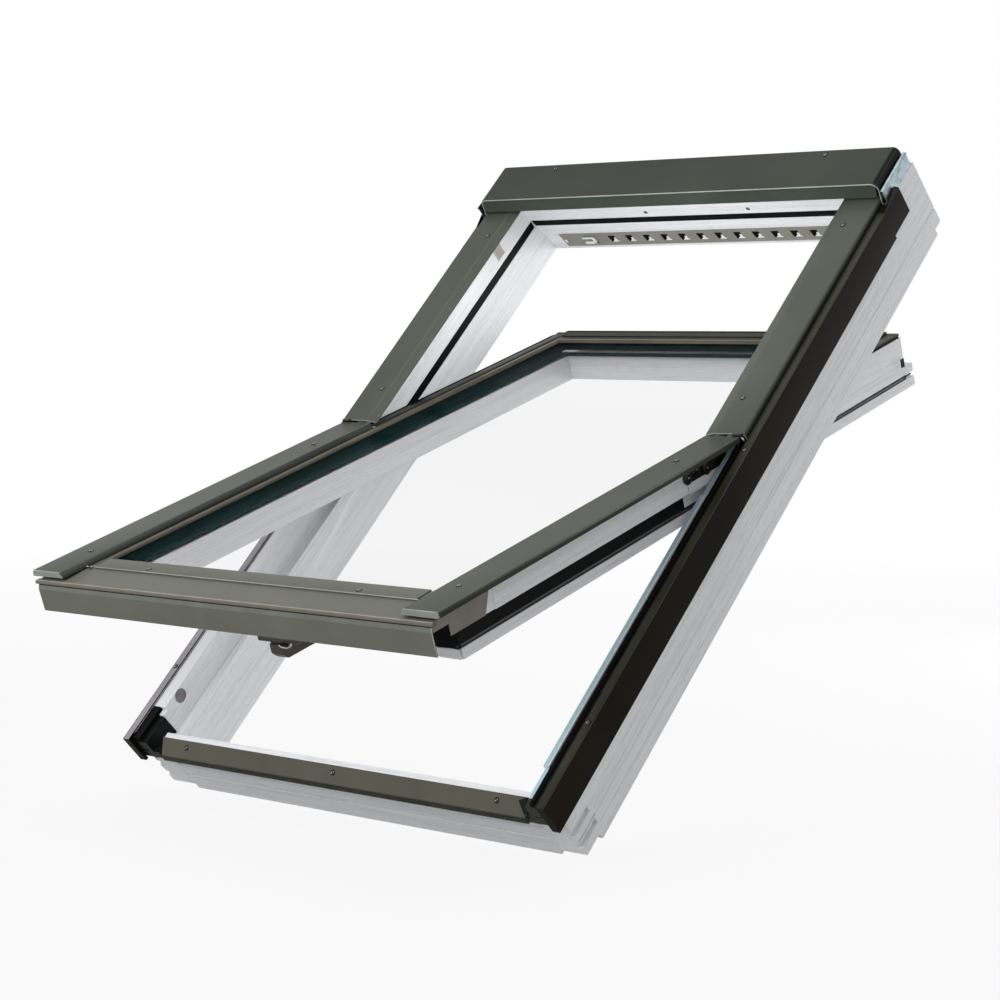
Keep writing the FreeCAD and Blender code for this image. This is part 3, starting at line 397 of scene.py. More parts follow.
timber = {"ease": 1.2}
for name, side in bothSides:
    easeEdges("frame_stile_" + name, "frame", pineAlong, timber["ease"])
    easeEdges("sash_stile_" + name, "sash", pineAlong, timber["ease"])
for node, body in (("frame_head", "frame"), ("frame_sill", "frame"), ("sash_bottom_rail", "sash"),
                   ("sash_top_rail", "sash")):
    easeEdges(node, body, pineAcross, timber["ease"])
# reeds planed into the sash's outer side, above the black channel
reeds = {"x": 349.8, "low": 106, "step": 2.6, "count": 7, "start": 97, "end": 508, "radius": 0.8}
for name, side in bothSides:
    levels = [reeds["low"] + reeds["step"] * i for i in range(reeds["count"])]
    beadPiece("sash_reeds_" + name, "sash", pineAlong, [
        (upSlope(side * reeds["x"], reeds["start"], reeds["end"], level), reeds["radius"]) for level in levels])
# the line milled round the outside is shallow and its floor takes the light
mill = {"x": 389.3, "level": 36.2, "radius": 1.0, "start": 46, "end": 1176}
for name, side in bothSides:
    beadPiece("mill_line_" + name, "frame", pineAlong, [
        (upSlope(side * mill["x"], mill["start"], mill["end"], mill["level"]), mill["radius"])], 8)
# the pale tape along the right upstand follows its steps, with the white arris outside it
tape = {"in": 355.6, "out": 361.6, "proud": 0.4, "runs": ((4, 47.5, 120), (48.5, 511, 126), (512, 614, 122.3))}
pulledPiece("upstand_tape", "frame", paleTape, [
    (rectangle(tape["in"], tape["out"], level - tape["proud"], level + tape["proud"]), start, end)
    for start, end, level in tape["runs"]])
print("timber done")

# skirts: sheet metal with a closed foot and a raised lug at the head
sheet = {"thickness": 1.5, "bend": 1.8}
skirt = {"in": 381, "out": 393.7, "top": 128, "foot": 79, "start": -16, "split": 606, "end": 1121, "cap": 5,
         "capIn": 381.5, "lugStart": 1067, "lugFoot": 84, "lugTop": 139, "lugChamfer": 9}
inner, outer, top, foot, start, end, lugStart, lugTop = (
    skirt[key] for key in ("in", "out", "top", "foot", "start", "end", "lugStart", "lugTop"))
lugEnd = end - skirt["lugChamfer"]
for name, side in bothSides:
    bm = bmesh.new()
    for low, near, far in ((foot, start, lugStart), (skirt["lugFoot"], lugStart, end)):
        line = [(inner, top), (outer, top), (outer, low)]
        pull(bm, mirroredX(bentSheet(line, -sheet["thickness"], sheet["bend"]), side), near, far)
    cap = [(skirt["capIn"], foot), (outer - 0.2, foot), (outer - 0.2, top - 2), (outer - 2, top - 0.2),
           (skirt["capIn"], top - 0.2)]
    pull(bm, mirroredX(cap, side), start + 0.3, start + skirt["cap"])
    lug = [(lugStart, top - 3), (lugStart, top), (lugEnd - 5, lugTop - 1), (lugEnd - 1, lugTop),
           (lugEnd + 2, lugTop - 1.4), (end, lugTop - skirt["lugChamfer"]), (end, top - 3)]
    pull(bm, lug, side * (outer - sheet["thickness"]), side * (outer - 0.05), "x")
    # the skirt is painted dark: painted shade and dark reflection on its side
    addPiece("skirt_" + name, bm, "frame", umberShadeDark, ("stile_cladding_" + name,))
    # its flange is the side that faces the sky: on the left its lower part has a painted reflection of the sky, on
    # the right it is painted olive for its light and shade, and the bead on its fold is a painted highlight
    face = mirroredX(rectangle(inner + 0.3, outer - 1.6, top - 0.2, top + 0.12), side)
    for part, near, far, leftFlangeTone in (("low", start + 0.2, skirt["split"], skyReflectionPale),
                                      ("high", skirt["split"], lugStart - 1, umberGrey)):
        pulledPiece(f"flange_{part}_{name}", "frame", leftFlangeTone if side < 0 else oliveLightAndShade,
                    [(face, near, far)])
    beadPiece("flange_fold_" + name, "frame", beadLightAndShade, [
        (upSlope(side * (outer - 0.55), start + 0.4, lugStart, top - 0.5), 0.5)])

# right: rubber with two lobes between upstand and flange; left: a white strip of timber and a thin black line
groove = {"start": -9, "end": 606, "in": 364.4, "out": 380.7, "floor": 117,
          "lobes": ((369.0, 4.2, 122.4), (376.8, 3.4, 122.0)),
          "strip": (364.6, 379.4), "seal": (366.2, 380.6), "stripTop": 124.6, "stripStart": 49}
section = [(groove["in"], groove["floor"])]
for middle, radius, level in groove["lobes"]:
    for i in range(9):
        turn = math.pi * (1 - i / 8)
        section.append((middle + radius * math.cos(turn), level + radius * math.sin(turn)))
section.append((groove["out"], groove["floor"]))
pulledPiece("groove_seal", "frame", gasketBlackAndShade, [(section, groove["start"], groove["end"])],
            smoothBelow=50)
for label, (near, far), slotName, material, start, end in (
        ("groove_strip", groove["strip"], "timber", pineAlong, groove["stripStart"], groove["end"]),
        ("groove_seal_end", groove["seal"], "gasket", gasketBlackAndShade, groove["start"], groove["stripStart"])):
    pulledPiece(label, "frame", material, [
        (rectangle(-near, -far, groove["floor"], groove["stripTop"]), start, end)])

sillSkin = {"half": 343, "line": [(10, 107.8), (-11, 91.8), (-11, 82)], "bend": 2.0,
            "fold": [(-12.6, 82), (-12.6, 91.2), (-12.3, 91.6), (-11.8, 91.6), (-11.8, 82)]}
outline = bentSheet(sillSkin["line"], sheet["thickness"], sillSkin["bend"])
pulledPiece("sill_skin", "frame", sillLitGrey, [(outline, -sillSkin["half"], sillSkin["half"])], "x",
            ("sill_cladding",))
# the sill's front fold, a thin plate painted olive and darker: painted shade
pulledPiece("sill_fold", "frame", oliveLightAndShade, [
    (sillSkin["fold"], -sillSkin["half"], sillSkin["half"])], "x")

# hood: a cap with rounded ends over a lip, both painted darker for their shade; the cap's front edge runs down into
# a small hook and carries a light bead that is a painted highlight
hood = {"half": 382, "ridge": 1093, "back": 1174, "top": 162, "side": 26, "bend": 11, "run": 7, "drop": 20,
        "lipHalf": 378, "backHalf": 370, "backDrop": 34, "edge": 0.9, "hook": 3, "hookLevel": 130, "hemBack": 6}
half, ridge, back, top, bend, lipHalf = (hood[key] for key in ("half", "ridge", "back", "top", "bend", "lipHalf"))
low = top - hood["side"]
cap = bentSheet([(-half, low), (-half, top), (half, top), (half, low)], -sheet["thickness"], bend, 8)
pulledPiece("hood", "frame", hoodShadeGrey, [
    (cap, ridge, back),
    (rectangle(-hood["backHalf"], hood["backHalf"], top - hood["backDrop"], top - 1), back - sheet["thickness"],
     back - 0.1)], replaces=("head_hood",), smoothBelow=35)
lip = [(ridge + 1, top - 1.2), (ridge - hood["run"], top - hood["drop"])]
lip += [(y + 1.6, z - 0.4) for y, z in lip[::-1]]
pulledPiece("hood_lip", "frame", lipShadeGrey, [(lip, -lipHalf, lipHalf)], "x")
path = []
for side in (1, -1):
    hook = [(side * (half - 0.5 + hood["hook"] * (1 - math.cos(a))), hood["hookLevel"] - hood["hook"] * math.sin(a))
            for a in (math.pi * (1 - i / 6) for i in range(7))]
    corner = [(side * (half - 0.7 - bend * (1 - math.cos(a))), top - bend - 0.7 + bend * math.sin(a))
              for a in (math.pi / 2 * i / 7 for i in range(8))]
    path += (hook + corner)[::side]
beadPiece("hood_edge", "frame", edgeHighlight, [
    ([(x, ridge - (0.3 if z > top - 12 else hood["hemBack"]), z) for x, z in path], hood["edge"])], 8)
# black plates at the hood's ends paint the shade in its open ends
endCap = [(half - 1, low), (half + 0.45, low), (half + 0.45, top - 11), (half + 0.1, top - 8),
          (half - 1.5, top - 4.2), (half - 4.4, top - 1.1), (half - 7.6, top + 0.05), (half - 7.6, top - 1),
          (half - 2, top - 9)]
for name, side in bothSides:
    pulledPiece("hood_end_shade_" + name, "frame", blackAbsAndShade, [
        (mirroredX(endCap, side), ridge + 3, back - 0.2)], smoothBelow=50)

# upper covers: the inner part slopes away from a crease, the outer side is folded down
upper = {"in": 313, "out": 380, "start": 615, "notch": 1120.6, "end": 1151, "underHood": 1092, "top": 137,
         "innerDrop": 5.4, "outerDrop": 14, "notchDrop": 10.4, "crease": 17, "fall": 4.0, "bend": 4,
         "gap": 128.5, "sideFoot": 128.8}
inner, outer, top, start, hidden = (upper[key] for key in ("in", "out", "top", "start", "underHood"))
crease = inner + upper["crease"]
for name, side in bothSides:
    bm = bmesh.new()
    for drop, near, far in ((upper["outerDrop"], start, upper["notch"]),
                            (upper["notchDrop"], upper["notch"], upper["end"])):
        line = [(inner, top - upper["innerDrop"]), (inner, top - upper["fall"]), (crease, top), (outer, top),
                (outer, top - drop)]
        pull(bm, mirroredX(bentSheet(line, -sheet["thickness"], upper["bend"], 6), side), near, far)
    addPiece("upper_cover_" + name + "_pressed", bm, "frame", umberGrey, ("upper_cover_" + name,), 14)
    # beads along the lower end's edge and along the folds are painted highlights, the crease's only on the left
    # where it faces the light; a thin olive plate on the outer side paints its shade
    edge = [(inner + 1, top - upper["fall"] - 0.6), (crease, top - 0.7), (outer - 5, top - 0.7),
            (outer - 1.6, top - 2.2), (outer - 0.7, top - 5), (outer - 0.7, top - upper["outerDrop"])]
    beadPiece("upper_cover_edge_" + name, "frame", edgeHighlight, [
        ([(side * x, start, z) for x, z in edge], 0.75)])
    folds = [(outer - 1.6, 1.4)] if side > 0 else [(crease, 0.4), (outer - 1.6, 1.4)]
    beadPiece("upper_cover_folds_" + name, "frame", foldHighlight, [
        (upSlope(side * x, start + 1, hidden, top - fall), 0.5) for x, fall in folds])
    # a black bead paints the shade in the gap between cover and flange
    beadPiece("cover_gap_shade_" + name, "frame", gasketBlackAndShade, [
        (upSlope(side * (outer + 0.75), start + 1, hidden, upper["gap"]), 0.8)])
    pulledPiece("upper_cover_side_" + name, "frame", oliveLightAndShade, [
        (mirroredX(rectangle(outer + 0.05, outer + 0.25, upper["sideFoot"], top - 4), side), start + 0.5,
         upper["end"] - 1)])

# the sash's covers are shorter sheets of the same make, open at the head
lower = {"in": 313, "out": 376, "start": -31, "end": 608, "top": 137, "innerDrop": 8, "outerDrop": 8.5,
         "crease": 6, "bend": 2.6}
inner, outer, top, start, end = (lower[key] for key in ("in", "out", "top", "start", "end"))
crease = inner + lower["crease"]


def makeCover(side):
    bm = bmesh.new()
    section = [(inner, top - lower["innerDrop"]), (crease, top), (outer, top), (outer, top - lower["outerDrop"])]
    foot, head = (ring(bm, [(side * x, up, z) for x, z in section]) for up in (start, end))
    for i in range(3):
        bm.faces.new((foot[i], foot[i + 1], head[i + 1], head[i]))
    bm.faces.new(foot)
    soft = [e for e in bm.edges if len(e.link_faces) == 2]
    bmesh.ops.bevel(bm, geom=soft, offset=lower["bend"] * mm, segments=5, profile=0.5, affect="EDGES")
    return bm


for name, side in bothSides:
    piece = addPiece(f"sash_cover_{name}_pressed", makeCover(side), "sash", umberGrey,
                     (f"sash_cover_{name}",), 50)
    shell = piece.modifiers.new("sheet", "SOLIDIFY")
    shell.thickness, shell.offset = sheet["thickness"] * mm, -1
    # beads on the folds and on the lower end's rim, and a plate on the front face, are painted highlights; a thin
    # olive plate on the outer side paints its shade
    beadPiece("sash_cover_folds_" + name, "sash", foldHighlight, [
        (upSlope(side * x, start + 1, end - 1, top - 0.45), 0.5) for x in (crease + 0.6, outer - 1.0)])
    pulledPiece("sash_cover_side_" + name, "sash", oliveLightAndShade, [
        (mirroredX(rectangle(outer + 0.05, outer + 0.25, top - 8.3, top - 3), side), start + 2, end - 0.5)])
    rim = [(inner + 7, 0.6, top - 0.6), (outer - 3, 0.6, top - 0.6), (outer - 0.9, 0.7, top - 2.4),
           (outer - 0.7, 0.5, top - 7.5)]
    beadPiece("sash_cover_end_" + name, "sash", edgeHighlight, [
        ([(side * x, start + y, z) for x, y, z in rim], 1.0)], 8)
    nose = [(inner + 0.6, top - 7.6), (outer - 1.6, top - 8.2), (outer - 0.3, top - 7), (outer - 0.3, top - 3),
            (outer - 2.6, top - 0.6), (inner + 6, top - 0.6)]
    pulledPiece("sash_cover_nose_" + name, "sash", noseHighlight, [
        (mirroredX(nose, side), start - 0.6, start)])

# galvanised strips beside the hood, their upper edge rolled over into a narrow channel
roll = {"out": 389.9, "in": 385.2, "top": 149, "start": 1088, "end": 1174, "drop": 12, "thickness": 0.9,
        "bend": 2.0}
line = [(roll["out"], roll["top"] - 2), (roll["out"], roll["top"] + 1.6), (roll["in"], roll["top"] + 1.6),
        (roll["in"], roll["top"] - roll["drop"])]
for name, side in bothSides:
    easeEdges("head_strip_" + name, "frame", zincStrip, 0.4)
    # the left roll is painted dark umber for its shade, the right one is zinc
    pulledPiece("strip_roll_" + name, "frame", umberShadeDark if side < 0 else zincStrip, [
        (mirroredX(bentSheet(line, -roll["thickness"], roll["bend"]), side), roll["start"], roll["end"])])
    easeEdges("frame_seal_" + name, "frame", gasketBlackAndShade, 1.0)
    easeEdges("sash_seal_" + name, "sash", gasketBlackAndShade, 0.6)
    easeEdges("sash_side_plate_" + name, "sash", plateBrown, 0.4)
    # the corner pieces are one part: black on the left, olive on the right, the olive painted for the light that
    # falls there
    easeEdges("corner_piece_" + name, "frame", blackAbsAndShade if side < 0 else oliveLightAndShade, 1.6, 3)
    easeEdges("pivot_cradle_" + name, "frame", hingeZinc, 0.8)
    easeEdges("pivot_arm_" + name, "sash", hingeZinc, 0.6)
easeEdges("frame_seal_head", "frame", gasketBlackAndShade, 1.0)
easeEdges("vent_grille", "frame", grilleAlu, 0.3)
easeEdges("catch_plate", "frame", beigeNylon, 0.8)
easeEdges("glazing_seal", "sash", gasketBlackAndShade, 0.2)

# the bolt's socket: a plug with a rim
socket = {"centre": (-355.1, 79.5, 115), "radius": 10.6, "rim": 1.0}
bm = bmesh.new()
r, rim = socket["radius"], socket["rim"]
turned(bm, [(r, -2.8), (r, 0.5), (r - 0.5, rim), (r - 1.6, rim), (r - 2.1, 0.3), (0.6, 0.2)], socket["centre"],
       (1, 0, 0), 32)
addPiece("bolt_plug", bm, "frame", plugBrown, ("bolt_socket",))

# dark butyl on the inner pane, along the spacer's foot: partly real butyl, partly painted shade in the rebate under
# the glass's edge
butylAndShade = {"in": 289, "out": 308.6, "low": 105.5, "high": 106.1, "start": 50, "end": 1071, "headStart": 1052}
strip = rectangle(butylAndShade["in"], butylAndShade["out"], butylAndShade["low"], butylAndShade["high"])
bm = bmesh.new()
for name, side in bothSides:
    pull(bm, mirroredX(strip, side), butylAndShade["start"], butylAndShade["end"])
pull(bm, rectangle(-butylAndShade["in"], butylAndShade["in"], butylAndShade["headStart"], butylAndShade["end"]), butylAndShade["low"], butylAndShade["high"], "z")
addPiece("butyl_edge_and_shade", bm, "sash", spacerDarkAndShade)

# edges of the upper sash: a band in painted olive shade between two black lines, closed by a bead on the glass in
# painted light and shade
band = {"start": 619.5, "end": 1095, "beadStart": 12, "beadEnd": 1078,
        "olive": [(314.8, 127.3), (315.4, 129.0), (318, 129.9), (329, 129.9), (332.2, 129.2), (333.4, 127.3)],
        "line": [(333.6, 127.3), (334, 129.4), (336, 129.8), (338, 129.4), (338.6, 127.3)],
        "bead": [(300.4, 125.2), (301.2, 128.0), (304, 129.6), (308, 129.9), (311, 129.2), (312.2, 127.4),
                 (312.2, 125.2)]}
for name, side in bothSides:
    for part, key, material, slotName, replaces, start, end in (
            ("band", "olive", oliveLightAndShade, "cladding_dark", ("sash_edge_" + name,), band["start"], band["end"]),
            ("line", "line", gasketBlackAndShade, "gasket", (), band["start"], band["end"]),
            ("bead", "bead", beadLightAndShade, "cladding_dark", (), band["beadStart"], band["beadEnd"])):
        pulledPiece(f"sash_edge_{part}_{name}", "sash", material, [
            (mirroredX(band[key], side), start, end)], replaces=replaces, smoothBelow=60)
# the same edge across the sash's head, with a lower wing at each end
headBand = {"half": 312.3, "wing": (312, 333), "lineHalf": 307.5, "lines": ((1085.2, 130.2), (1100.4, 134.0)),
            "beadHalf": 300.4,
            "section": [(1078, 125.2), (1078, 127.0), (1079, 128.6), (1083, 129.2), (1086, 130.4), (1099, 133.6),
                        (1101, 134), (1105, 134), (1105, 127.3), (1076, 127.3)],
            "wingSection": [(1083, 127.3), (1086, 129.4), (1098, 130.2), (1101, 131.2), (1105, 131.2),
                            (1105, 127.3)],
            "bead": [(1064, 125.2), (1064.6, 128.0), (1067, 129.6), (1071, 129.9), (1075, 129.2), (1076.4, 125.2)]}
near, far = headBand["wing"]
pulledPiece("sash_edge_top_band", "sash", oliveLightAndShade, [
    (headBand["section"], -headBand["half"], headBand["half"]),
    (headBand["wingSection"], -near, -far), (headBand["wingSection"], near, far)], "x", ("sash_edge_top",), 20)
half = headBand["lineHalf"]
beadPiece("sash_edge_top_lines", "sash", gasketBlackAndShade, [
    ([(-half, up, level), (half, up, level)], 0.8) for up, level in headBand["lines"]])
pulledPiece("sash_edge_top_bead", "sash", beadLightAndShade, [
    (headBand["bead"], -headBand["beadHalf"], headBand["beadHalf"])], "x", smoothBelow=60)

# rolled rubber line along the sash's room-side lip, with a painted sheen
lipLine = {"x": 335.2, "level": 63.4, "radius": 2.5, "start": 31, "end": 1096}
for name, side in bothSides:
    beadPiece("lip_line_" + name, "sash", gasketPaintedSheen, [
        (upSlope(side * lipLine["x"], lipLine["start"], lipLine["end"], lipLine["level"]), lipLine["radius"])], 12)
print("sheet metal and seals done")

# apron under the glass: a nose stands over the face, with a groove and a fold between; a black plate paints the
# groove's shade, and the fold, the nose and the edges carry painted light and highlights
apron = {"half": 365, "noseHalf": 368.5, "lapHalf": 299,
         "roof": [(43, 128.8), (35, 128.8), (-30, 124.7)], "roofBend": 1.4,
         "face": [(-31, 118.4), (-34.2, 118.2), (-36.9, 112.4), (-35.5, 80)], "faceBend": 2.0,
         "nose": [(-29, 124.7), (-34.6, 124.4), (-36.2, 123.8), (-36.9, 122.6), (-36.9, 120.6), (-36.2, 119.6),
                  (-34.6, 119.2), (-29, 119.4)],
         "fold": [(-34.4, 118.0), (-36.6, 113.2), (-36.9, 111.6), (-37.1, 111.6), (-36.8, 113.4), (-34.6, 118.2)],
         "lap": [(14.5, 127.2), (14.5, 128.9), (15.2, 129.5), (44.5, 130.3), (44.5, 128.9), (35, 128.9)],
         "end": [(-34.6, 117.6), (-36.5, 112.6), (-35.4, 80.2)]}
half, noseHalf, lapHalf = apron["half"], apron["noseHalf"], apron["lapHalf"]
pulledPiece("apron", "sash", apronLitGrey, [
    (bentSheet(apron[part], sheet["thickness"], apron[part + "Bend"]), -half, half) for part in ("roof", "face")],
    "x", ("sash_apron",))
pulledPiece("apron_nose", "sash", noseLitBrown, [(apron["nose"], -noseHalf, noseHalf)], "x",
            smoothBelow=50)
pulledPiece("apron_fold", "sash", foldHighlight, [(apron["fold"], 0.6 - half, half - 0.6)], "x",
            smoothBelow=50)
pulledPiece("apron_lap", "sash", apronLitGrey, [(apron["lap"], -lapHalf, lapHalf)], "x")
beadPiece("apron_edges", "sash", edgeHighlight, [
    ([(-lapHalf, 14.4, 129.3), (lapHalf, 14.4, 129.3)], 0.9),
    ([(1 - noseHalf, -34.6, 124.3), (noseHalf - 1, -34.6, 124.3)], 0.8)] + [
    ([(x, y, z) for y, z in apron["end"]], 0.6) for x in (0.4 - half, half - 0.4)])
pulledPiece("apron_groove_shade", "sash", gasketBlackAndShade, [
    (rectangle(1 - half, half - 1, -35.4, -30.5), 118.1, 119.4)], "z")

# the bead's lower ends, cut off roughly and bent up
snip = {"x": 306, "up": 11, "level": 130, "radius": 0.7, "burrs": ((-4, 0, 0.5), (0, -2.2, 1.6), (4, 0.6, 0.8))}
bm = bmesh.new()
for name, side in bothSides:
    for dx, dy, rise in snip["burrs"]:
        x, y, z = side * snip["x"] + dx, snip["up"] + dy, snip["level"] + rise
        bead(bm, [(x - 1.6, y, z), (x, y - 1.2, z + 0.9), (x + 1.6, y + 0.4, z + 0.2)], snip["radius"], 6)
addPiece("bead_snips", bm, "sash", brightSteelAndHighlight)

# grille: black painted shade behind its slots, a pale patch of painted light at the lower right of each with a pale
# dot of light beside it, and the slider's U
vent = {"first": -204.5, "pitch": 36, "count": 13, "foot": 17, "top": 34, "half": 7, "slide": -250.5,
        "slideHalf": 12.5, "floor": (2.2, 3.4), "rim": (3.4, 6.0)}
# the head's room face leans: 28 mm over its height of 126
headFace = {"foot": 1150, "run": 28, "rise": 126, "normal": (0, -1, -0.22)}


def onHead(x, level, proud):
    return Vector((x, headFace["foot"] - headFace["run"] * level / headFace["rise"] - proud, level))


def headPlate(bm, outline, low, high):
    skin(bm, [ring(bm, [onHead(x, z, proud) for x, z in outline]) for proud in (low, high)])


ventShade, ventLight, ventLightDots = bmesh.new(), bmesh.new(), bmesh.new()
half, foot, top = vent["half"], vent["foot"], vent["top"]
for i in range(vent["count"]):
    x = vent["first"] + vent["pitch"] * i
    headPlate(ventShade, rectangle(x - half, x + half, foot, top), 0.02, 0.5)
    headPlate(ventLight, [(x - 4.5, foot), (x + half, foot), (x + half, foot + 10), (x + 2.5, foot + 10),
                      (x + 1, foot + 5)], 0.55, 1.2)
    turned(ventLightDots, [(1.5, 0), (1.5, 0.5), (0.8, 1.0)], onHead(x + half + 1.5, foot + 2.5, 1.7),
           headFace["normal"], 10)
addPiece("vent_slot_shade", ventShade, "frame", shadowBlack)
addPiece("vent_slot_light", ventLight, "frame", paleNylonAndLight)
addPiece("vent_light_dots", ventLightDots, "frame", paleNylonAndLight)
left, right, foot, top = (vent["slide"] - vent["slideHalf"], vent["slide"] + vent["slideHalf"],
                          vent["foot"] + 0.5, vent["top"] - 0.5)
bm = bmesh.new()
headPlate(bm, rectangle(left, right, foot, top), *vent["floor"])
addPiece("vent_slide_floor", bm, "frame", grilleAlu, ("vent_slider",), 30)
bm = bmesh.new()
headPlate(bm, rectangle(left, right, foot, foot + 4.5), *vent["rim"])
headPlate(bm, rectangle(left, right - 5, top - 2.6, top), *vent["rim"])
headPlate(bm, [(right - 5, foot), (right, foot), (right, top - 5), (right - 5, top)], *vent["rim"])
headPlate(bm, rectangle(-305.5, -301.5, 20, 27), 2.2, 3.2)
addPiece("vent_slide", bm, "frame", paleNylonAndLight, smoothBelow=30)

# handle: plate and lever, with a bright steel bead that is a painted highlight under a black bead that paints the
# shade in the gap
grip = {"ease": 2.0, "highlightRadius": 1.4, "slotRadius": 1.7,
        "catch": [(7.5, 39.6, 31.5), (10, 39.6, 29.8), (13, 40.3, 28.6), (18, 41.6, 27.7), (22.5, 42.7, 28.5),
                  (25.5, 43.7, 31), (26, 44.4, 33.8)],
        "slot": [(9.5, 40.6, 32.4), (13.5, 41.4, 31.3), (18, 42.6, 30.9), (22, 43.8, 31.8)]}
easeEdges("sash_handle", "sash", handleAlu, grip["ease"], 3)
beadPiece("handle_highlight", "sash", brightSteelAndHighlight, [(grip["catch"], grip["highlightRadius"])], 8)
beadPiece("handle_slot", "sash", blackAbsAndShade, [(grip["slot"], grip["slotRadius"])], 8)

# knurled knobs of the brake beside the pivot's arm, with the bright heads of their screws
knobs = {"x": 350.6, "spots": ((512, 111), (532, 116), (557, 110)), "radius": 9.4, "depth": 3.2, "teeth": 14,
         "tooth": 0.9}
r, d = knobs["radius"], knobs["depth"]
for name, side in bothSides:
    bm, heads = bmesh.new(), bmesh.new()
    x, outward = side * knobs["x"], (side, 0, 0)
    for up, level in knobs["spots"]:
        turned(bm, [(r, 0), (r, d * 0.7), (r * 0.82, d), (r * 0.4, d), (r * 0.36, d * 0.7)],
               (x - side * 0.5, up, level), outward, 28)
        for i in range(knobs["teeth"]):
            turn = 2 * math.pi * i / knobs["teeth"]
            y, z = up + r * math.cos(turn), level + r * math.sin(turn)
            bead(bm, [(x, y, z), (x + side * d * 0.7, y, z)], knobs["tooth"], 6)
        turned(heads, [(1.9, 0), (1.9, d * 0.8), (1.2, d + 0.9)], (x, up, level), outward, 12)
    addPiece("brake_knobs_" + name, bm, "sash", hingeZinc)
    addPiece("brake_screws_" + name, heads, "sash", brightSteelAndHighlight)
# white timber stands in front of the arm's lower half
block = {"in": 350.05, "out": 350.9, "low": 87.0, "high": 101.5, "start": 511.5, "end": 607.5}
outline = rectangle(block["in"], block["out"], block["low"], block["high"])
for name, side in bothSides:
    pulledPiece("pivot_block_" + name, "sash", pineAlong, [
        (mirroredX(outline, side), block["start"], block["end"])])
# a bright clip at the outer corner of each upper cover's lower end
clip = {"x": 374, "up": 611, "level": 133, "radius": 1.5,
        "bends": ((-4, 1, 4.6), (1.5, -0.5, 3), (4, -1.5, 0), (4.2, -1.5, -4))}
beadPiece("cover_clips", "frame", brightSteelAndHighlight, [
    ([(side * (clip["x"] + dx), clip["up"] + dy, clip["level"] + dz) for dx, dy, dz in clip["bends"]],
     clip["radius"]) for name, side in bothSides], 10)
# the seals' ends at the top of the sash
sealEnd = {"in": 349.6, "out": 350.25, "outline": [(1072.5, 86.8), (1082.3, 86.4), (1082, 99.8), (1072.5, 99.8)],
           "tail": [(338, 1099, 65), (340, 1104.5, 66), (341.2, 1109, 66.8)], "tailRadius": 1.0}
for name, side in bothSides:
    bm = bmesh.new()
    pull(bm, sealEnd["outline"], side * sealEnd["in"], side * sealEnd["out"], "x")
    bead(bm, [(side * x, y, z) for x, y, z in sealEnd["tail"]], sealEnd["tailRadius"], 8)
    addPiece("seal_end_" + name, bm, "sash", gasketBlackAndShade)
# the room-side lip's end, seen under the apron's end
lipEnd = {"outline": [(300.5, 48.4), (304.8, 47.4), (337.5, 46.8), (337.5, 60), (301.5, 60)],
          "start": 30.2, "end": 31.4}
pulledPiece("lip_ends", "sash", pineAcross, [
    (mirroredX(lipEnd["outline"], side), lipEnd["start"], lipEnd["end"]) for name, side in bothSides])
# black wedge of the right corner piece, on the sill's cladding
wedge = {"corners": [(330.5, 4.5, 106.4), (342.5, 8.5, 109.2), (344.6, 1.0, 103.6), (350.5, -13.2, 96.0),
                     (345.5, -13.2, 93.0)], "lean": 0.9, "half": 1.2}
bm = bmesh.new()
skin(bm, [ring(bm, [(x, y - wedge["lean"] * way, z + wedge["half"] * way) for x, y, z in wedge["corners"]])
          for way in (-1, 1)])
addPiece("corner_wedge", bm, "frame", blackAbsAndShade)
print("apron, grille, handle and pivots done")

for node, material in (("glass_spacer", spacerDarkAndShade), ("glass_outer", paneGlass), ("glass_inner", paneGlass)):
    nodes[node].data.materials.clear()
    nodes[node].data.materials.append(material)

# screws: a black ring under a lacquered head with a recess, and a bright dot off its centre that is a painted glint
screws = {"radius": 2.9, "height": 1.2, "ring": 4.1, "glint": (-1.1, -1.2, 0)}
spots = {
    "frame": [((x, 1033.8, 137), (0, 0, 1)) for x in (-342, 342)]
    + [((x, 682.6, 137), (0, 0, 1)) for x in (-343.5, 343.5)]
    + [((x, 1164, 162), (0, 0, 1)) for x in (-261, 261)]
    + [((x, up, 128.1), (0, 0, 1)) for x in (-387, 387) for up in (120, 593.7)]
    + [((x, 2, 101.7), (0, -0.6, 0.8)) for x in (-292, 0, 292)],
    "sash": [((x, up, 137), (0, 0, 1)) for x in (-342.5, 342.5) for up in (48, 506)]
    + [((x, 23, 129.7), (0, -0.04, 1)) for x in (-196, 196)],
}
r, h, wide = screws["radius"], screws["height"], screws["ring"]
for body, places in spots.items():
    rings, bm, glints = bmesh.new(), bmesh.new(), bmesh.new()
    for centre, axis in places:
        turned(rings, [(wide, -0.5), (wide, 0.25), (wide - 0.5, 0.4)], centre, axis)
        turned(bm, [(r, 0.2), (r, 0.6), (r * 0.84, h * 0.85), (r * 0.5, h), (r * 0.34, h), (r * 0.2, 0.4)],
               centre, axis)
        turned(glints, [(0.7, h * 0.8), (0.7, h + 0.2), (0.4, h + 0.35)],
               Vector(centre) + Vector(screws["glint"]), axis, 8)
    addPiece(body + "_screw_glints", glints, body, brightSteelAndHighlight)
    addPiece(body + "_screw_rings", rings, body, gasketBlackAndShade)
    addPiece(body + "_screws", bm, body, screwDark)
# two dark screws in the head's face, above its groove
headScrews = {"across": (-94.9, 103.8), "level": 91.4}
bm = bmesh.new()
for x in headScrews["across"]:
    turned(bm, [(3.4, -0.5), (3.4, 0.5), (2.4, 1.0), (1.0, 0.6)], onHead(x, headScrews["level"], 0),
           headFace["normal"], 16)
addPiece("head_screws", bm, "frame", screwDark)
print("screws done")

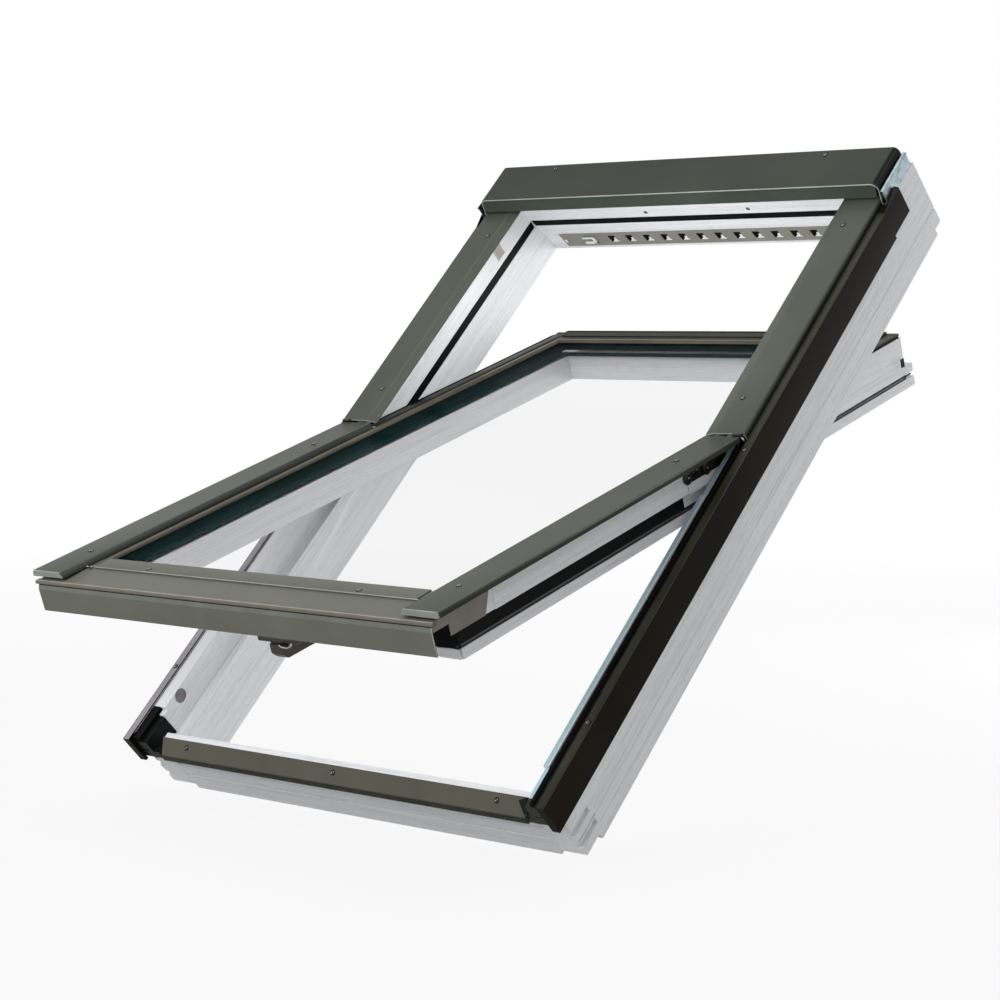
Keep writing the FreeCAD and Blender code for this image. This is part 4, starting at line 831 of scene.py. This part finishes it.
# the studio's floor keeps a soft shadow near the window and turns white further out
stage = {"floor": "#c8c8c8", "size": 30.0, "drop": 0.004, "near": 1.2, "far": 4.5, "white": 0.88,
         "ambient": 0.5, "backdrop": 1.0}
lowest = min(v.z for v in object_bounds())
bm = bmesh.new()
bmesh.ops.create_grid(bm, x_segments=1, y_segments=1, size=stage["size"])
floorMesh = bpy.data.meshes.new("floor")
bm.to_mesh(floorMesh)
bm.free()
floor = bpy.data.objects.new("floor", floorMesh)
floor.location = (0, 0, lowest - stage["drop"])
scene.collection.objects.link(floor)
floor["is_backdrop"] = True
floorPaper, tree, shader = newMaterial("white studio paper", {
    "Base Color": linear(stage["floor"]), "Roughness": 0.8})
coords = addNode(tree, "ShaderNodeTexCoord")
away = addNode(tree, "ShaderNodeVectorMath", {0: coords.outputs["Object"]}, operation="LENGTH")
spread = addNode(tree, "ShaderNodeMapRange", {
    "Value": away.outputs["Value"], "From Min": stage["near"], "From Max": stage["far"],
    "To Min": stage["white"], "To Max": 1.0})
paths = addNode(tree, "ShaderNodeLightPath")
straight = addNode(tree, "ShaderNodeMath", {
    0: paths.outputs["Is Camera Ray"], 1: paths.outputs["Is Transmission Ray"]}, operation="MAXIMUM")
seen = addNode(tree, "ShaderNodeMath", {0: straight.outputs[0], 1: spread.outputs[0]}, operation="MULTIPLY")
white = addNode(tree, "ShaderNodeEmission", {"Color": (1, 1, 1, 1), "Strength": 1.0})
blend = addNode(tree, "ShaderNodeMixShader", {0: seen.outputs[0], 1: shader.outputs[0], 2: white.outputs[0]})
tree.links.new(blend.outputs[0], tree.nodes["Material Output"].inputs["Surface"])
floor.data.materials.append(floorPaper)

# plain white world: camera, gloss and glass see it white, the object gets half of it as light
world = bpy.data.worlds.new("studio")
scene.world = world
world.use_nodes = True
tree = world.node_tree
tree.nodes.clear()
paths = addNode(tree, "ShaderNodeLightPath")
first = addNode(tree, "ShaderNodeMath", {
    0: paths.outputs["Is Camera Ray"], 1: paths.outputs["Is Glossy Ray"]}, operation="MAXIMUM")
shown = addNode(tree, "ShaderNodeMath", {
    0: first.outputs[0], 1: paths.outputs["Is Transmission Ray"]}, operation="MAXIMUM")
ambient = addNode(tree, "ShaderNodeBackground", {"Color": (1, 1, 1, 1), "Strength": stage["ambient"]})
backdrop = addNode(tree, "ShaderNodeBackground", {"Color": (1, 1, 1, 1), "Strength": stage["backdrop"]})
mixed = addNode(tree, "ShaderNodeMixShader", {
    0: shown.outputs[0], 1: ambient.outputs[0], 2: backdrop.outputs[0]})
addNode(tree, "ShaderNodeOutputWorld", {"Surface": mixed.outputs[0]})


def addLamp(name, place, aim, size, power, hiddenFrom=()):
    lamp = bpy.data.lights.new(name, "AREA")
    lamp.size, lamp.energy = size, power
    holder = bpy.data.objects.new(name, lamp)
    holder.location = place
    holder.rotation_euler = (Vector(aim) - Vector(place)).to_track_quat("-Z", "Y").to_euler()
    scene.collection.objects.link(holder)
    for rays in hiddenFrom:
        setattr(holder, "visible_" + rays, False)


middle = (0, 0.33, 0.45)
addLamp("key softbox", (-0.3, -3.4, 2.1), middle, 2.2, 74)
addLamp("top softbox", (-0.6, 0.4, 3.6), middle, 2.2, 20)
# these two stand where the glass would show them
addLamp("room softbox", (0.3, 2.6, 0.7), (-0.35, 0.6, 0.75), 1.2, 28, ("camera", "transmission"))
addLamp("head softbox", (0.05, 0.2, 0.62), (0, 0.76, 0.95), 0.3, 2.2, ("camera", "glossy", "transmission"))

# the photo's viewpoint, solved from the window's own edges
shot = {"place": (2.2915, -2.40473, 0.64516), "right": (0.758261, 0.651906, 0.007840),
        "down": (0.047814, -0.043615, -0.997904), "forward": (-0.650195, 0.757047, -0.064241),
        "lens": 87.84, "sensor": 36}
camera = bpy.data.cameras.new("photo camera")
camera.lens, camera.sensor_width = shot["lens"], shot["sensor"]
holder = bpy.data.objects.new("photo camera", camera)
axes = Matrix((shot["right"], [-v for v in shot["down"]], [-v for v in shot["forward"]])).transposed()
holder.matrix_world = Matrix.Translation(shot["place"]) @ axes.to_4x4()
scene.collection.objects.link(holder)
scene.camera = holder
scene.view_settings.view_transform = "Standard"
print("stage and camera done")
